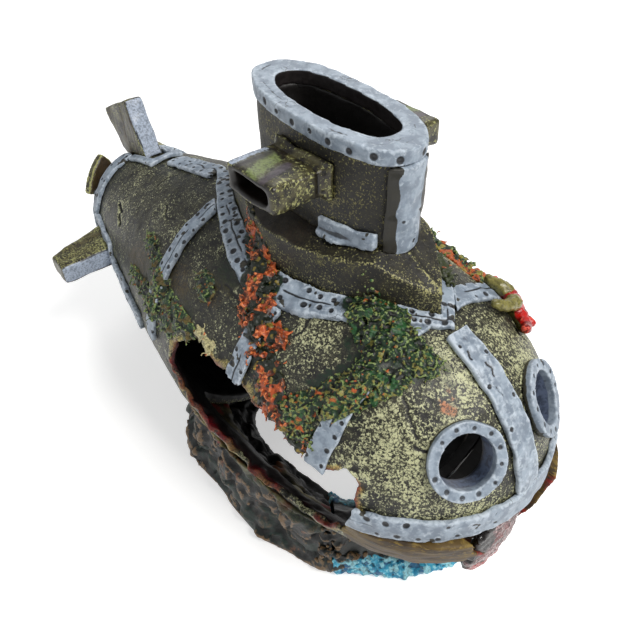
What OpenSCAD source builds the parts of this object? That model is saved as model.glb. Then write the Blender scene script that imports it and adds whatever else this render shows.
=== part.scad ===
/* [Hull] */
// Length of the hull from tail ring to nose
hull_len = 150; // [130:1:180]
// Largest radius of the hull
hull_r_max = 34.8; // [31:0.2:38]
// Radius of the hull at the tail ring
tail_r = 17.7; // [15:0.1:20]
// Thickness of the hull wall
hull_wall = 3; // [2:0.1:4]
// Height of the hull axis above the ground
axis_h = 42; // [40:0.5:48]
// Length of the lower bow plate behind the nose
belly_len = 22; // [18:0.5:26]
// Distance by which the lower bow plate stands proud at the nose
belly_flare = 4.3; // [0:0.1:5]

/* [Straps] */
// Width of the riveted straps
strap_w = 6; // [4:0.1:7]
// Width of the hoops down the hull's sides
hoop_w = 4.6; // [3.5:0.1:6]
// Thickness of the riveted straps
strap_t = 1.2; // [0.8:0.1:2]
// Height of the waterline strap above the hull axis
waterline_z = 1.4; // [-1:0.1:2]

/* [Deck and tower] */
// Length of the deck casing
deck_len = 69.5; // [62:0.5:76]
// Width of the deck casing
deck_w = 30; // [27:0.5:33]
// Height of the deck's centre line above the hull axis
deck_h = 44.3; // [42:0.1:47]
// Length of the tower at its rim
tower_len = 42; // [38:0.5:46]
// Width of the tower at its rim
tower_w = 19; // [17:0.5:22]
// Height of the tower above the deck
tower_h = 20.1; // [18:0.1:26]
// Height of the rim flange
rim_h = 3; // [2:0.1:4]
// Distance by which the rim stands out from the tower wall
rim_proud = 0.9; // [0.5:0.1:1.5]
// Length of the open well inside the tower
well_len = 30.6; // [26:0.2:34]
// Width of the open well inside the tower
well_w = 12.2; // [10:0.2:13]

/* [Sail planes] */
// Distance from hull axis plane to the tip of a sail plane
plane_reach = 21.5; // [18:0.5:24]
// Fore and aft length of a sail plane
plane_chord = 14; // [11:0.5:16]
// Thickness of a sail plane
plane_t = 6; // [4.5:0.1:7]

/* [Portholes] */
// Outer radius of a porthole ring
port_r = 7.8; // [7:0.1:8.5]
// Radius of a porthole's hole
port_hole_r = 5.5; // [4.5:0.1:6]
// Distance of a porthole behind the nose
port_back = 7.3; // [7:0.1:9]
// Angle of a porthole from the top of the hull
port_angle = 36; // [33:1:42]

/* [Tail] */
// Distance from the hull axis to the tip of a side fin
side_fin_reach = 38.5; // [35:0.5:41]
// Distance from the hull axis to the tip of the top fin
top_fin_reach = 36.5; // [34:0.5:40]
// Thickness of the fins
fin_t = 6; // [4:0.1:7]
// Radius of the propeller
prop_r = 18.5; // [15:0.5:21]

/* [Base] */
// Length of the rock base
base_len = 94; // [88:1:104]
// Width of the rock base
base_w = 67; // [62:1:74]
// Length of the opening in the underside
hatch_len = 46; // [38:1:50]
// Width of the opening in the underside
hatch_w = 24; // [18:1:28]
// Height of the rock's edge on the hull sides, below the hull axis
lip_drop = 13; // [11:0.5:16]

/* [Hidden] */
$fn = 64;
// clearance under everything that is laid on the hull or the tower
skin_gap = 0.1;
// clearance between neighbours that lie side by side
side_gap = 0.3;

// hull profile: a power curve towards the tail, a blunt oval towards the nose
tail_pow = 1.19;
nose_pow = 3.85;
half_len = hull_len / 2;
skin_steps = 18;

// stations along the hull, counted from its middle and positive towards the nose
tower_x = 17.7;
deck_mid_x = 14;
deck_front_x = deck_mid_x + deck_len * 0.497;
deck_rear_x = deck_front_x - deck_len;
base_x = 17;
aft_hoop_x = -12.5;
mid_hoop_x = 22.5;
fore_hoop_x = 47;
belly_x = half_len - belly_len;

// tail pieces
hub_len = 7;
hub_r = 4.6;
shaft_len = 2.5;
cap_t = 1.5;
blade_t = 3;
blade_span = 43;
blade_first = 48;
blade_pitch = 18;
stern_reach = cap_t + shaft_len + hub_len;
stern_ring_w = 5;

// the row's origin stands under the middle of the overall length
nose_reach = half_len + skin_gap + strap_t;
hull_x = (half_len + stern_reach - nose_reach) / 2;

// tower
tower_tilt = 3.4;
tower_pow = 2.4;
wall_len = tower_len - 2 * rim_proud;
wall_w = tower_w - 2 * rim_proud;
tower_top = deck_h + tower_h;
band_t = 1.1;

// ---------- hull surface ----------

// radius of the hull at station x
function hull_r(x) =
    x < 0
    ? hull_r_max - (hull_r_max - tail_r) * pow(min(1, -x / half_len), tail_pow)
    : hull_r_max * sqrt(max(0, 1 - pow(min(1, x / half_len), nose_pow)));

// the profile runs from t = -1 at the tail, over 0 amidships, to 1 at the nose
function t_of(x) = x < 0 ? x / half_len : asin(min(1, x / half_len)) / 90;
function x_of(t) = t < 0 ? t * half_len : half_len * sin(90 * t);
function profile(t) = [hull_r(x_of(t)), x_of(t)];
function unit(v) = v / norm(v);
function outward(t) =
    let (d = profile(t) - profile(t - 0.004))
    unit([d.y, -d.x]);
function skin(t, h) =
    let (q = profile(t) + h * outward(t))
    [max(0, q.x), q.y];
function skin_line(t1, t2, h) =
    let (n = max(2, ceil((t2 - t1) * skin_steps)))
    [for (i = [0:n]) skin(t1 + (t2 - t1) * i / n, h)];
function backwards(list) = [for (i = [len(list) - 1:-1:0]) list[i]];

// puts a shape that was made around Z onto the hull axis, Z becoming the nose's direction
module on_hull() {
    translate([hull_x, 0, axis_h])
        rotate([0, 90, 0])
            children();
}

// moves a shape made in hull stations, with Z up from the axis
module at_hull() {
    translate([hull_x, 0, axis_h])
        children();
}

// band of the hull's skin between two stations, from angle a1 to a2 counted
// from the top towards starboard, between heights lo and hi over the surface
module skin_band(x1, x2, lo, hi, a1 = 0, a2 = 360) {
    outline = concat(skin_line(t_of(x1), t_of(x2), hi), backwards(skin_line(t_of(x1), t_of(x2), lo)));
    on_hull()
        rotate([0, 0, 180 + a1])
            rotate_extrude(angle = a2 - a1)
                polygon(outline);
}

// everything inside the hull's surface raised by h
module hull_body(h) {
    on_hull()
        rotate_extrude()
            polygon(concat([[0, -half_len - 20], [skin(-1, h).x, -half_len - 20]],
                           skin_line(-1, 0, h), skin_line(0.02, 1, h), [[0, half_len + h]]));
}

// ---------- outlines ----------

function oval(length, width, n = 48) =
    [for (i = [0:n - 1])
        let (c = cos(360 * i / n), s = sin(360 * i / n))
        [sign(c) * length / 2 * pow(abs(c), 2 / tower_pow),
         sign(s) * width / 2 * pow(abs(s), 2 / tower_pow)]];

// share of a grown outline's growth that reaches ahead of the deck's front tip
deck_front_grow = 0.6;
// half width of the deck at station x, for an outline grown by g
function deck_half(x, g) =
    let (front = deck_front_x + deck_front_grow * g, rear = deck_rear_x - g)
    x > deck_mid_x
    ? (deck_w / 2 + g) * (1 - pow((x - deck_mid_x) / (front - deck_mid_x), 2.2))
    : (deck_w / 2 + g) * (1 - pow((deck_mid_x - x) / (deck_mid_x - rear), 1.45));
function deck_side(g, n = 14) =
    let (front = deck_front_x + deck_front_grow * g, rear = deck_rear_x - g)
    [for (i = [0:n])
        let (x = rear + (front - rear) * (1 - cos(180 * i / n)) / 2)
        [x, deck_half(x, g)]];
function deck_outline(g) =
    concat(deck_side(g), [for (q = backwards(deck_side(g))) if (q.y > 0.01) [q.x, -q.y]]);

module well(grow = 0) {
    at_hull()
        translate([tower_x, 0, 0])
            linear_extrude(tower_top + 20)
                polygon(oval(well_len + 2 * grow, well_w + 2 * grow));
}

// torn opening in the hull's side, drawn in stations and heights from the axis
rip_outline = [
    [2, -5], [-3, 1], [-1, 9], [5, 14], [10, 16.5], [15, 14], [20, 15.6], [26, 14.4],
    [31, 12.6], [36, 13.4], [41, 11.6], [45, 9.2], [49, 9.6], [53, 12.4], [55.5, 9],
    [56.5, 3], [54, -6], [48, -12], [38, -14], [28, -12.5], [20, -9.5], [11, -8]
];
module rip(side) {
    at_hull()
        mirror([0, side > 0 ? 0 : 1, 0])
            translate([0, hull_r_max + 12, 0])
                rotate([90, 0, 0])
                    linear_extrude(hull_r_max)
                        polygon(rip_outline);
}
module rips() {
    rip(-1);
    rip(1);
}

// ---------- rock base ----------

hatch_x = 14;
base_ground = -axis_h;
gravel_angle = 40;
rock_turns = 48;
lip_w = 1.2;

function wobble(a) = 1 + 0.018 * sin(5 * a + 40) + 0.012 * sin(9 * a + 120) + 0.010 * sin(14 * a);
function ring_r(a, half_x, half_y, p) =
    pow(pow(abs(cos(a)) / half_x, p) + pow(abs(sin(a)) / half_y, p), -1 / p);
function foot_r(a) = ring_r(a, base_len / 2, base_w / 2, cos(a) > 0 ? 1.8 : 2.5) * wobble(a);
function hatch_r(a) = ring_r(a, hatch_len / 2, hatch_w / 2, 3.4);
function base_point(a, r) = [base_x + r * cos(a), r * sin(a)];
// height of the hull's underside over a point of the ground plan
function seat_z(q) =
    let (r = hull_r(q.x) + side_gap)
    -sqrt(max(0, r * r - q.y * q.y));
function lip_z(a) =
    -lip_drop - (hull_r_max - 1.5 - lip_drop) * pow(max(0, cos(a)), 3)
              - (hull_r_max - 4.5 - lip_drop) * pow(max(0, -cos(a)), 2);
// radius at which the hull's underside reaches the height of the rock's edge
function lip_r(a, lo = 12, hi = 70, n = 22) =
    n == 0
    ? lo
    : let (mid = (lo + hi) / 2)
      seat_z(base_point(a, mid)) < lip_z(a) ? lip_r(a, mid, hi, n - 1) : lip_r(a, lo, mid, n - 1);

seat_steps = 5;
// share of the way from the hatch to the edge at which the bowl leaves the hull's curve
bowl_share = 0.58;
// one upright slice of the base, from the foot over the edge and down the bowl to the hatch
function slice(a) =
    let (foot = foot_r(a), lip = lip_r(a), top = lip_z(a),
         crest = lip + lip_w + 0.4 * sin(11 * a),
         hatch = hatch_r(a) + (hatch_x - base_x) * cos(a),
         shelf = hatch + bowl_share * (lip - hatch),
         rise = top - base_ground)
    concat(
        [[foot, base_ground],
         [foot + 0.5 * sin(7 * a), base_ground + rise * 0.22],
         [foot - (foot - crest) * 0.25 + 0.5 * sin(8 * a + 50), base_ground + rise * 0.5],
         [foot - (foot - crest) * 0.6 + 0.4 * sin(13 * a), base_ground + rise * 0.8],
         [crest, top - 0.4]],
        [for (i = [0:seat_steps])
            let (r = lip + (shelf - lip) * i / seat_steps, q = base_point(a, r))
            [r, seat_z(q) - 0.15]],
        [[hatch, base_ground]]
    );
function slice_3d(a) =
    [for (q = slice(a)) let (g = base_point(a, q.x)) [g.x, g.y, q.y]];
slice_n = len(slice(0));

function wall_faces(rows, closed) =
    [for (i = [0:rows - (closed ? 1 : 2)], j = [0:slice_n - 1], k = [0, 1])
        let (a = i * slice_n, b = ((i + 1) % rows) * slice_n, m = (j + 1) % slice_n)
        k == 0 ? [a + j, b + m, b + j] : [a + j, a + m, b + m]];
// an end slice is closed by pairing its outer points with its seat points
function end_face(first, flip) =
    let (f = [for (j = [0:slice_n - 1]) first + j])
    flip ? backwards(f) : f;

module ground_ring(a1, a2, n) {
    rows = [for (i = [0:n]) slice_3d(a1 + (a2 - a1) * i / n)];
    points = [for (row = rows, q = row) q];
    at_hull()
        polyhedron(points,
                   concat(wall_faces(n + 1, false), [end_face(0, true), end_face(n * slice_n, false)]));
}

module rock_base() {
    color([0.20, 0.24, 0.22])
        ground_ring(gravel_angle, 360 - gravel_angle, rock_turns);
}

module gravel_bed() {
    color([0.15, 0.60, 0.72])
        ground_ring(-gravel_angle + side_gap, gravel_angle - side_gap, 14);
}

// ---------- hull ----------

module porthole_axis(side, h = 0) {
    t = t_of(half_len - port_back);
    n = outward(t);
    at = skin(t, h);
    on_hull()
        rotate([0, 0, 180 - side * port_angle])
            translate([at.x, 0, at.y])
                rotate([0, atan2(n.x, n.y), 0])
                    children();
}

port_tube_r = port_hole_r + 1.2;
port_tube_len = 5;
port_face_h = 0.9;

module belly_space(grow) {
    at_hull()
        translate([belly_x - grow, -hull_r_max - 5, -hull_r_max - 5])
            cube([half_len, 2 * hull_r_max + 10, hull_r_max + 5 + waterline_z - strap_w / 2 + grow]);
}

// the hull is open below this depth where the bowl of the base takes its place
keel_x = [-6, belly_x - 3.5];
keel_drop = lip_drop + 5;
module keel_opening() {
    at_hull()
        translate([keel_x[0], -hull_r_max - 5, -hull_r_max - 5])
            cube([keel_x[1] - keel_x[0], 2 * hull_r_max + 10, hull_r_max + 5 - keel_drop]);
}

module hull_shell() {
    color([0.36, 0.34, 0.18])
        difference() {
            skin_band(-half_len, half_len, -hull_wall, 0);
            well();
            rips();
            keel_opening();
            belly_space(side_gap);
            for (side = [-1, 1])
                porthole_axis(side)
                    translate([0, 0, -20])
                        cylinder(r = port_tube_r + skin_gap, h = 40);
        }
}

// torn notch under the nose, seen from ahead
notch_outline = [[-15, 5], [-13, -6], [-8, -11], [-5, -18], [-2, -22], [3, -21], [7, -13], [11, -7], [12, 5]];
module notch() {
    at_hull()
        translate([belly_x + 6, 0, 0])
            rotate([90, 0, 90])
                linear_extrude(belly_len)
                    polygon(notch_outline);
}

// height of the bow plate's outside over the hull surface
function flare(t) = belly_flare * pow(max(0, t - t_of(belly_x)) / (1 - t_of(belly_x)), 0.8);
module belly_plate() {
    t1 = t_of(belly_x);
    n = 9;
    ts = [for (i = [0:n]) t1 + (1 - t1) * i / n];
    color([0.52, 0.42, 0.22])
        difference() {
            intersection() {
                on_hull()
                    rotate_extrude()
                        polygon(concat([for (t = ts) skin(t, flare(t))],
                                       [for (t = backwards(ts)) skin(t, flare(t) - hull_wall)]));
                belly_space(0);
            }
            notch();
            rips();
        }
}

// ---------- straps ----------

module slab(x1, x2, z_mid, width) {
    at_hull()
        translate([x1, -hull_r_max - 5, z_mid - width / 2])
            cube([x2 - x1, 2 * hull_r_max + 10, width]);
}

module upright_slab(x1, x2, width) {
    at_hull()
        translate([x1, -width / 2, 0])
            cube([x2 - x1, width, hull_r_max + 5]);
}

module waterline_strap_bow() {
    color([0.60, 0.66, 0.72])
        difference() {
            intersection() {
                skin_band(belly_x, half_len, skin_gap, strap_t + skin_gap);
                slab(belly_x, half_len + 5, waterline_z + side_gap, strap_w);
            }
            rips();
        }
}

stern_strap_x = [-52, -24];
stern_strap_z = -1;
module waterline_straps_stern() {
    color([0.58, 0.63, 0.68])
        intersection() {
            skin_band(stern_strap_x[0], stern_strap_x[1], skin_gap, strap_t + skin_gap);
            slab(stern_strap_x[0], stern_strap_x[1], stern_strap_z, strap_w);
        }
}

// deck outline widened by the strap that follows its foot, and a little more
strap_rim = side_gap + strap_w;
module nose_strap() {
    from_x = deck_front_x + deck_front_grow * strap_rim + side_gap;
    color([0.62, 0.68, 0.75])
        difference() {
            intersection() {
                skin_band(from_x, half_len, skin_gap, strap_t + skin_gap);
                upright_slab(from_x, half_len + 5, strap_w);
            }
            slab(half_len / 2, half_len + 5, waterline_z + side_gap, strap_w + 2 * side_gap);
            for (side = [-1, 1])
                porthole_axis(side)
                    translate([0, 0, -port_tube_len])
                        cylinder(r = port_r + side_gap, h = 3 * port_tube_len);
        }
}

top_strap_rear = -50;
module top_strap() {
    to_x = deck_rear_x - strap_rim - side_gap;
    color([0.58, 0.63, 0.68])
        intersection() {
            skin_band(top_strap_rear, to_x, skin_gap, strap_t + skin_gap);
            upright_slab(top_strap_rear, to_x, strap_w);
        }
}

module deck_prism(grow) {
    at_hull()
        linear_extrude(deck_h)
            polygon(deck_outline(grow));
}

module deck_strap_body(extra) {
    difference() {
        intersection() {
            skin_band(deck_rear_x - 12, deck_front_x + 12, skin_gap - extra, strap_t + skin_gap + extra);
            deck_prism(strap_rim + extra);
        }
        deck_prism(side_gap);
    }
}

module deck_strap() {
    color([0.60, 0.66, 0.72])
        deck_strap_body(0);
}

// a pair of hoops, one down each side from the deck strap
module hoop_pair(x, a2) {
    difference() {
        skin_band(x - hoop_w / 2, x + hoop_w / 2, skin_gap, strap_t + skin_gap, -a2, a2);
        deck_prism(strap_rim + side_gap);
        rips();
    }
}
module hoop_fore() {
    color([0.60, 0.66, 0.72])
        hoop_pair(fore_hoop_x, 72);
}
module hoop_mid() {
    color([0.60, 0.66, 0.72])
        hoop_pair(mid_hoop_x, 66);
}
module hoop_aft() {
    color([0.58, 0.63, 0.68])
        hoop_pair(aft_hoop_x, 84);
}

// ---------- deck and tower ----------

deck_camber = 14;
deck_front_slope = 27;
deck_rear_slope = 26;
tower_foot_drop = 8;

// the deck's outer form, cambered to both sides and sloping down at its two ends
module deck_block() {
    side_x = 2 * deck_len;
    difference() {
        deck_prism(0);
        for (side = [-1, 1])
            at_hull()
                mirror([0, side > 0 ? 0 : 1, 0])
                    translate([-side_x / 2, 0, deck_h])
                        rotate([-deck_camber, 0, 0])
                            cube([side_x, deck_w, deck_h]);
        at_hull()
            translate([tower_x + tower_len / 2 - 2.7, -deck_w, deck_h - 1.2])
                rotate([0, deck_front_slope, 0])
                    cube([deck_len, 2 * deck_w, deck_h]);
        at_hull()
            translate([tower_x - tower_len / 2 - 1.5, -deck_w, deck_h - 1])
                rotate([0, -deck_rear_slope, 0])
                    translate([-deck_len, 0, 0])
                        cube([deck_len, 2 * deck_w, deck_h]);
    }
}

module deck_casing() {
    color([0.38, 0.36, 0.19])
        difference() {
            deck_block();
            hull_body(skin_gap);
            well();
        }
}

// slab parallel to the tower's sloping top, between two depths under it
module under_top(from_depth, to_depth) {
    at_hull()
        translate([tower_x, 0, tower_top])
            rotate([0, tower_tilt, 0])
                translate([-tower_len, -tower_w, -to_depth])
                    cube([2 * tower_len, 2 * tower_w, to_depth - from_depth]);
}

module tower_ring(length, width, inner_length, inner_width) {
    at_hull()
        translate([tower_x, 0, deck_h - tower_foot_drop])
            linear_extrude(tower_h + 2 * tower_foot_drop)
                difference() {
                    polygon(oval(length, width));
                    polygon(oval(inner_length, inner_width));
                }
}

module tower_shell() {
    color([0.36, 0.34, 0.18])
        difference() {
            intersection() {
                tower_ring(wall_len, wall_w, well_len, well_w);
                under_top(rim_h, tower_h + 2 * tower_foot_drop);
            }
            deck_block();
        }
}

module tower_rim() {
    color([0.62, 0.68, 0.75])
        intersection() {
            tower_ring(tower_len, tower_w, well_len, well_w);
            under_top(0, rim_h);
        }
}

// strap round the outside of the tower between stations x1 and x2, up to a height over the deck
module tower_band(x1, x2, height) {
    difference() {
        intersection() {
            tower_ring(wall_len + 2 * band_t + 2 * skin_gap, wall_w + 2 * band_t + 2 * skin_gap,
                       wall_len + 2 * skin_gap, wall_w + 2 * skin_gap);
            at_hull()
                translate([x1, -tower_w, deck_h - tower_foot_drop])
                    cube([x2 - x1, 2 * tower_w, height + tower_foot_drop]);
            under_top(rim_h + skin_gap, tower_h + 2 * tower_foot_drop);
        }
        translate([0, 0, skin_gap])
            deck_block();
    }
}

prow_x = tower_x + wall_len / 2 - 0.9;
module prow_band() {
    color([0.62, 0.68, 0.75])
        tower_band(prow_x, prow_x + 12, tower_h);
}

foot_strap_h = 2;
module tower_foot_strap() {
    color([0.60, 0.66, 0.72])
        intersection() {
            tower_band(tower_x + 6, prow_x - 1.2, foot_strap_h);
            at_hull()
                translate([tower_x, -tower_w, 0])
                    cube([tower_len, tower_w, tower_top]);
        }
}

// sail planes, whose roots are cut to the tower's own wall
plane_z = 54.5;
plane_seat = 3;
collar = 1.2;
module sail_plane(side) {
    at_x = tower_x + 1.3 - plane_chord / 2;
    recess = [plane_chord - 4, 4, plane_t - 3];
    color([0.38, 0.36, 0.19])
        difference() {
            at_hull()
                mirror([0, side > 0 ? 0 : 1, 0]) {
                    translate([at_x, wall_w / 2 - plane_seat, plane_z - plane_t / 2])
                        cube([plane_chord, plane_reach - wall_w / 2 + plane_seat, plane_t]);
                    translate([at_x - collar, wall_w / 2 - plane_seat, plane_z - plane_t / 2 - collar])
                        cube([plane_chord + 2 * collar, plane_seat + collar, plane_t + 2 * collar]);
                }
            at_hull()
                translate([tower_x, 0, deck_h])
                    linear_extrude(tower_h)
                        polygon(oval(wall_len + 2 * skin_gap, wall_w + 2 * skin_gap));
            at_hull()
                mirror([0, side > 0 ? 0 : 1, 0])
                    translate([tower_x + 1.3 - recess.x / 2, plane_reach - recess.y, plane_z - recess.z / 2])
                        cube([recess.x, recess.y + 1, recess.z]);
        }
}
module sail_plane_starboard() {
    sail_plane(-1);
}
module sail_plane_port() {
    sail_plane(1);
}

// ---------- portholes ----------

module porthole_ring(side) {
    color([0.62, 0.68, 0.75])
        difference() {
            union() {
                difference() {
                    porthole_axis(side)
                        translate([0, 0, -port_tube_len])
                            cylinder(r = port_r, h = port_tube_len + port_face_h);
                    hull_body(skin_gap);
                }
                porthole_axis(side)
                    translate([0, 0, -port_tube_len])
                        cylinder(r = port_tube_r, h = port_tube_len + port_face_h);
            }
            porthole_axis(side)
                translate([0, 0, -port_tube_len - 1])
                    cylinder(r = port_hole_r, h = port_tube_len + port_face_h + 2);
        }
}
module porthole_ring_starboard() {
    porthole_ring(-1);
}
module porthole_ring_port() {
    porthole_ring(1);
}

// ---------- tail ----------

// fin outlines as station and distance from the hull axis
top_fin_outline = [[-58, 12], [-70, top_fin_reach], [-86, top_fin_reach - 7.5], [-74, 12]];
side_fin_outline = [[-54, 12], [-54, side_fin_reach], [-62, side_fin_reach], [-71, 12]];
fin_strap_w = 2.4;
fin_strap_x = [-half_len + stern_ring_w + side_gap, -52.4];

// turns a piece that stands on top of the hull by an angle towards starboard
module round_hull(angle) {
    translate([0, 0, axis_h])
        rotate([angle, 0, 0])
            translate([0, 0, -axis_h])
                children();
}

module fin_plate(outline, grow = 0) {
    at_hull()
        translate([0, fin_t / 2 + grow, 0])
            rotate([90, 0, 0])
                linear_extrude(fin_t + 2 * grow)
                    polygon(outline);
}

module fin(outline, angle) {
    color([0.40, 0.38, 0.20])
        difference() {
            round_hull(angle)
                fin_plate(outline);
            hull_body(skin_gap);
        }
}

module fin_strap(outline, angle, front_x) {
    color([0.58, 0.63, 0.68])
        round_hull(angle)
            difference() {
                intersection() {
                    skin_band(fin_strap_x[0], front_x, skin_gap, strap_t + skin_gap, -50, 50);
                    upright_slab(fin_strap_x[0], front_x, fin_t + 2 * fin_strap_w);
                }
                fin_plate(outline, side_gap);
                at_hull()
                    translate([outline[3].x, -fin_t / 2 - side_gap, 0])
                        cube([outline[0].x - outline[3].x + side_gap, fin_t + 2 * side_gap, 60]);
            }
}

module top_fin() {
    fin(top_fin_outline, 0);
}
module top_fin_strap() {
    fin_strap(top_fin_outline, 0, -54.5);
}
module bottom_fin() {
    fin(top_fin_outline, 180);
}
module bottom_fin_strap() {
    fin_strap(top_fin_outline, 180, -54.5);
}
module side_fin_starboard() {
    fin(side_fin_outline, 90);
}
module side_fin_strap_starboard() {
    fin_strap(side_fin_outline, 90, fin_strap_x[1]);
}
module side_fin_port() {
    fin(side_fin_outline, -90);
}
module side_fin_strap_port() {
    fin_strap(side_fin_outline, -90, fin_strap_x[1]);
}

module stern_ring() {
    color([0.60, 0.66, 0.72])
        difference() {
            skin_band(-half_len, -half_len + stern_ring_w, skin_gap, strap_t + skin_gap);
            for (angle = [0, 180])
                round_hull(angle)
                    fin_plate(top_fin_outline, side_gap);
            for (angle = [-90, 90])
                round_hull(angle)
                    fin_plate(side_fin_outline, side_gap);
        }
}

module stern_cap() {
    color([0.36, 0.34, 0.18])
        on_hull()
            translate([0, 0, -half_len - cap_t])
                cylinder(r = tail_r - 2 * side_gap, h = cap_t);
}

module propeller() {
    color([0.50, 0.52, 0.36])
        on_hull()
            translate([0, 0, -half_len - stern_reach]) {
                cylinder(r1 = hub_r * 0.45, r2 = hub_r, h = hub_len * 0.5);
                translate([0, 0, hub_len * 0.5])
                    cylinder(r = hub_r, h = hub_len * 0.5);
                translate([0, 0, hub_len])
                    cylinder(r = hub_r * 0.7, h = shaft_len);
                for (k = [0:3])
                    rotate([0, 0, 180 + blade_first + 90 * k])
                        translate([0, 0, hub_len * 0.6])
                            rotate([blade_pitch, 0, 0])
                                translate([0, 0, -blade_t / 2])
                                    linear_extrude(blade_t)
                                        polygon(blade_outline());
            }
}

function blade_outline() =
    concat([[hub_r * 0.5, -1.6], [hub_r * 1.2, -3.4]],
           [for (i = [0:6]) let (a = blade_span * (i / 6 - 0.5)) prop_r * [cos(a), sin(a)]],
           [[hub_r * 1.2, 3.4], [hub_r * 0.5, 1.6]]);

// ---------- growth and starfish ----------

growth_t = 2.2;
// a patch of growth on the hull, clear of the straps that cross it
module patch(x1, x2, a1, a2) {
    skin_band(x1, x2, skin_gap, growth_t, a1, a2);
}
module hoop_space(x) {
    skin_band(x - hoop_w / 2 - skin_gap, x + hoop_w / 2 + skin_gap, -1, strap_t + 2 * skin_gap, -90, 90);
}

module moss_bow() {
    color([0.16, 0.34, 0.18])
        difference() {
            union() {
                patch(39, 52, 20, 47);
                patch(31, 43, 50, 60);
            }
            hoop_space(fore_hoop_x);
            deck_strap_body(side_gap);
        }
}

coral_w = 8;
function coral_x(k) = 5 + 22 * k;
function coral_a(k) = 26 + 36 * k;
module coral_band() {
    n = 4;
    color([0.80, 0.36, 0.12])
        difference() {
            for (i = [0:n - 1])
                patch(coral_x(i / n), coral_x(i / n) + coral_w, coral_a(i / n), coral_a((i + 1) / n));
            hoop_space(mid_hoop_x);
            deck_strap_body(side_gap);
            deck_prism(side_gap);
            rips();
        }
}

module moss_port() {
    color([0.55, 0.38, 0.14])
        difference() {
            patch(30, 42, -50, -30);
            deck_strap_body(side_gap);
        }
}

star_r = 7.6;
star_t = 2.6;
star_x = 50;
star_angle = -39;
module starfish() {
    t = t_of(star_x);
    n = outward(t);
    at = skin(t, 0);
    color([0.78, 0.14, 0.10])
        difference() {
            on_hull()
                rotate([0, 0, 180 + star_angle])
                    translate([at.x, 0, at.y])
                        rotate([0, atan2(n.x, n.y), 0])
                            linear_extrude(strap_t + star_t)
                                polygon([for (i = [0:9])
                                    let (r = i % 2 == 0 ? star_r : star_r * 0.38)
                                    r * [cos(36 * i), sin(36 * i)]]);
            hull_body(strap_t + 2 * skin_gap);
        }
}

rock_base();
gravel_bed();
hull_shell();
belly_plate();
waterline_strap_bow();
waterline_straps_stern();
nose_strap();
top_strap();
deck_strap();
hoop_fore();
hoop_mid();
hoop_aft();
stern_ring();
deck_casing();
tower_shell();
tower_rim();
prow_band();
tower_foot_strap();
sail_plane_starboard();
sail_plane_port();
porthole_ring_starboard();
porthole_ring_port();
top_fin();
top_fin_strap();
side_fin_starboard();
side_fin_strap_starboard();
side_fin_port();
side_fin_strap_port();
bottom_fin();
bottom_fin_strap();
stern_cap();
propeller();
moss_bow();
coral_band();
moss_port();
starfish();
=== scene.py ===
import itertools
import math

import bmesh
import bpy
import numpy as np
from mathutils import Matrix, Vector
from mathutils.bvhtree import BVHTree


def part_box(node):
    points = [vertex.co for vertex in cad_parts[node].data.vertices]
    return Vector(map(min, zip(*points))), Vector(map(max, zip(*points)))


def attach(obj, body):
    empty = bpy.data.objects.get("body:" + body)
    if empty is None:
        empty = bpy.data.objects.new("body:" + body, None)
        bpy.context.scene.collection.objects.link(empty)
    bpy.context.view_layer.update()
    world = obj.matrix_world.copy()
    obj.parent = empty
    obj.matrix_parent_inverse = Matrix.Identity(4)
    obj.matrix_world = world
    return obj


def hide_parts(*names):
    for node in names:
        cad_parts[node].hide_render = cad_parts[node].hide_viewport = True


# Looks of a resin cave ornament, a wrecked submarine on a rock. Every solid of the frame is
# taken over by an even clay-like mesh, which is dented, worn and torn by the rules below.
# Shapes are worked in millimetres in the hull's own frame: x towards the nose from the
# hull's middle, y to port, z up from the hull's axis.

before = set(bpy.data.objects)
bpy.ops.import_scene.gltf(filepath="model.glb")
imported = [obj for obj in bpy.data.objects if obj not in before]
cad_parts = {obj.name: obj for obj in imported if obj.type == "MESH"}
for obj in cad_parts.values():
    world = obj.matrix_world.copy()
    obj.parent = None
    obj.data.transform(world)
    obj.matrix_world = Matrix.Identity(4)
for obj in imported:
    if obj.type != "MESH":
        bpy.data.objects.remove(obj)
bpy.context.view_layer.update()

MM = 0.001
hull_low, hull_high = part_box("hull_shell")
HULL_R = (hull_high.y - hull_low.y) / 2 / MM
HALF_LEN = (hull_high.x - hull_low.x) / 2 / MM
ORIGIN = np.array([(hull_low.x + hull_high.x) / 2, 0, hull_high.z - HULL_R * MM])
TAIL_R = 17.7
TAIL_POWER = 1.19
NOSE_POWER = 3.85
STRAP_T = 1.3
STRAP_VOXEL = 0.28
TOWER_X = 17.7
TOWER_POWER = 2.4
PLANE_X = 19.0
PLANE_Z = 54.5
FLOOR = -ORIGIN[2] / MM

# ---------------------------------------------------------------- numbers and noise


def colour(red, green, blue):
    """A paint named by its 0-255 screen values, as the shaders want it."""
    return tuple((c / 255) ** 2.2 for c in (red, green, blue)) + (1.0,)


def lattice(cell, seed):
    """A fixed random number from 0 to 1 for each whole-number cell."""
    c = cell.astype(np.int64).astype(np.uint32)
    n = c[:, 0] * np.uint32(73856093) ^ c[:, 1] * np.uint32(19349663) ^ c[:, 2] * np.uint32(83492791)
    n = (n ^ np.uint32(seed * 7919 + 13)) * np.uint32(1274126177)
    n = (n ^ (n >> np.uint32(15))) * np.uint32(2246822519)
    n = n ^ (n >> np.uint32(13))
    return n / 4294967295.0


TURN = np.array(Matrix.Rotation(0.7, 3, Vector((1, 2, 3))))


def noise(p, size, seed=0):
    """Smooth noise from -1 to 1 with features of the given size."""
    q = (p @ TURN) / size
    cell = np.floor(q)
    f = q - cell
    f = f * f * (3 - 2 * f)
    total = np.zeros(len(p))
    for corner in itertools.product((0, 1), repeat=3):
        weight = np.ones(len(p))
        for axis in range(3):
            weight *= f[:, axis] if corner[axis] else 1 - f[:, axis]
        total += weight * lattice(cell + np.array(corner), seed)
    return 2 * total - 1


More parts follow.
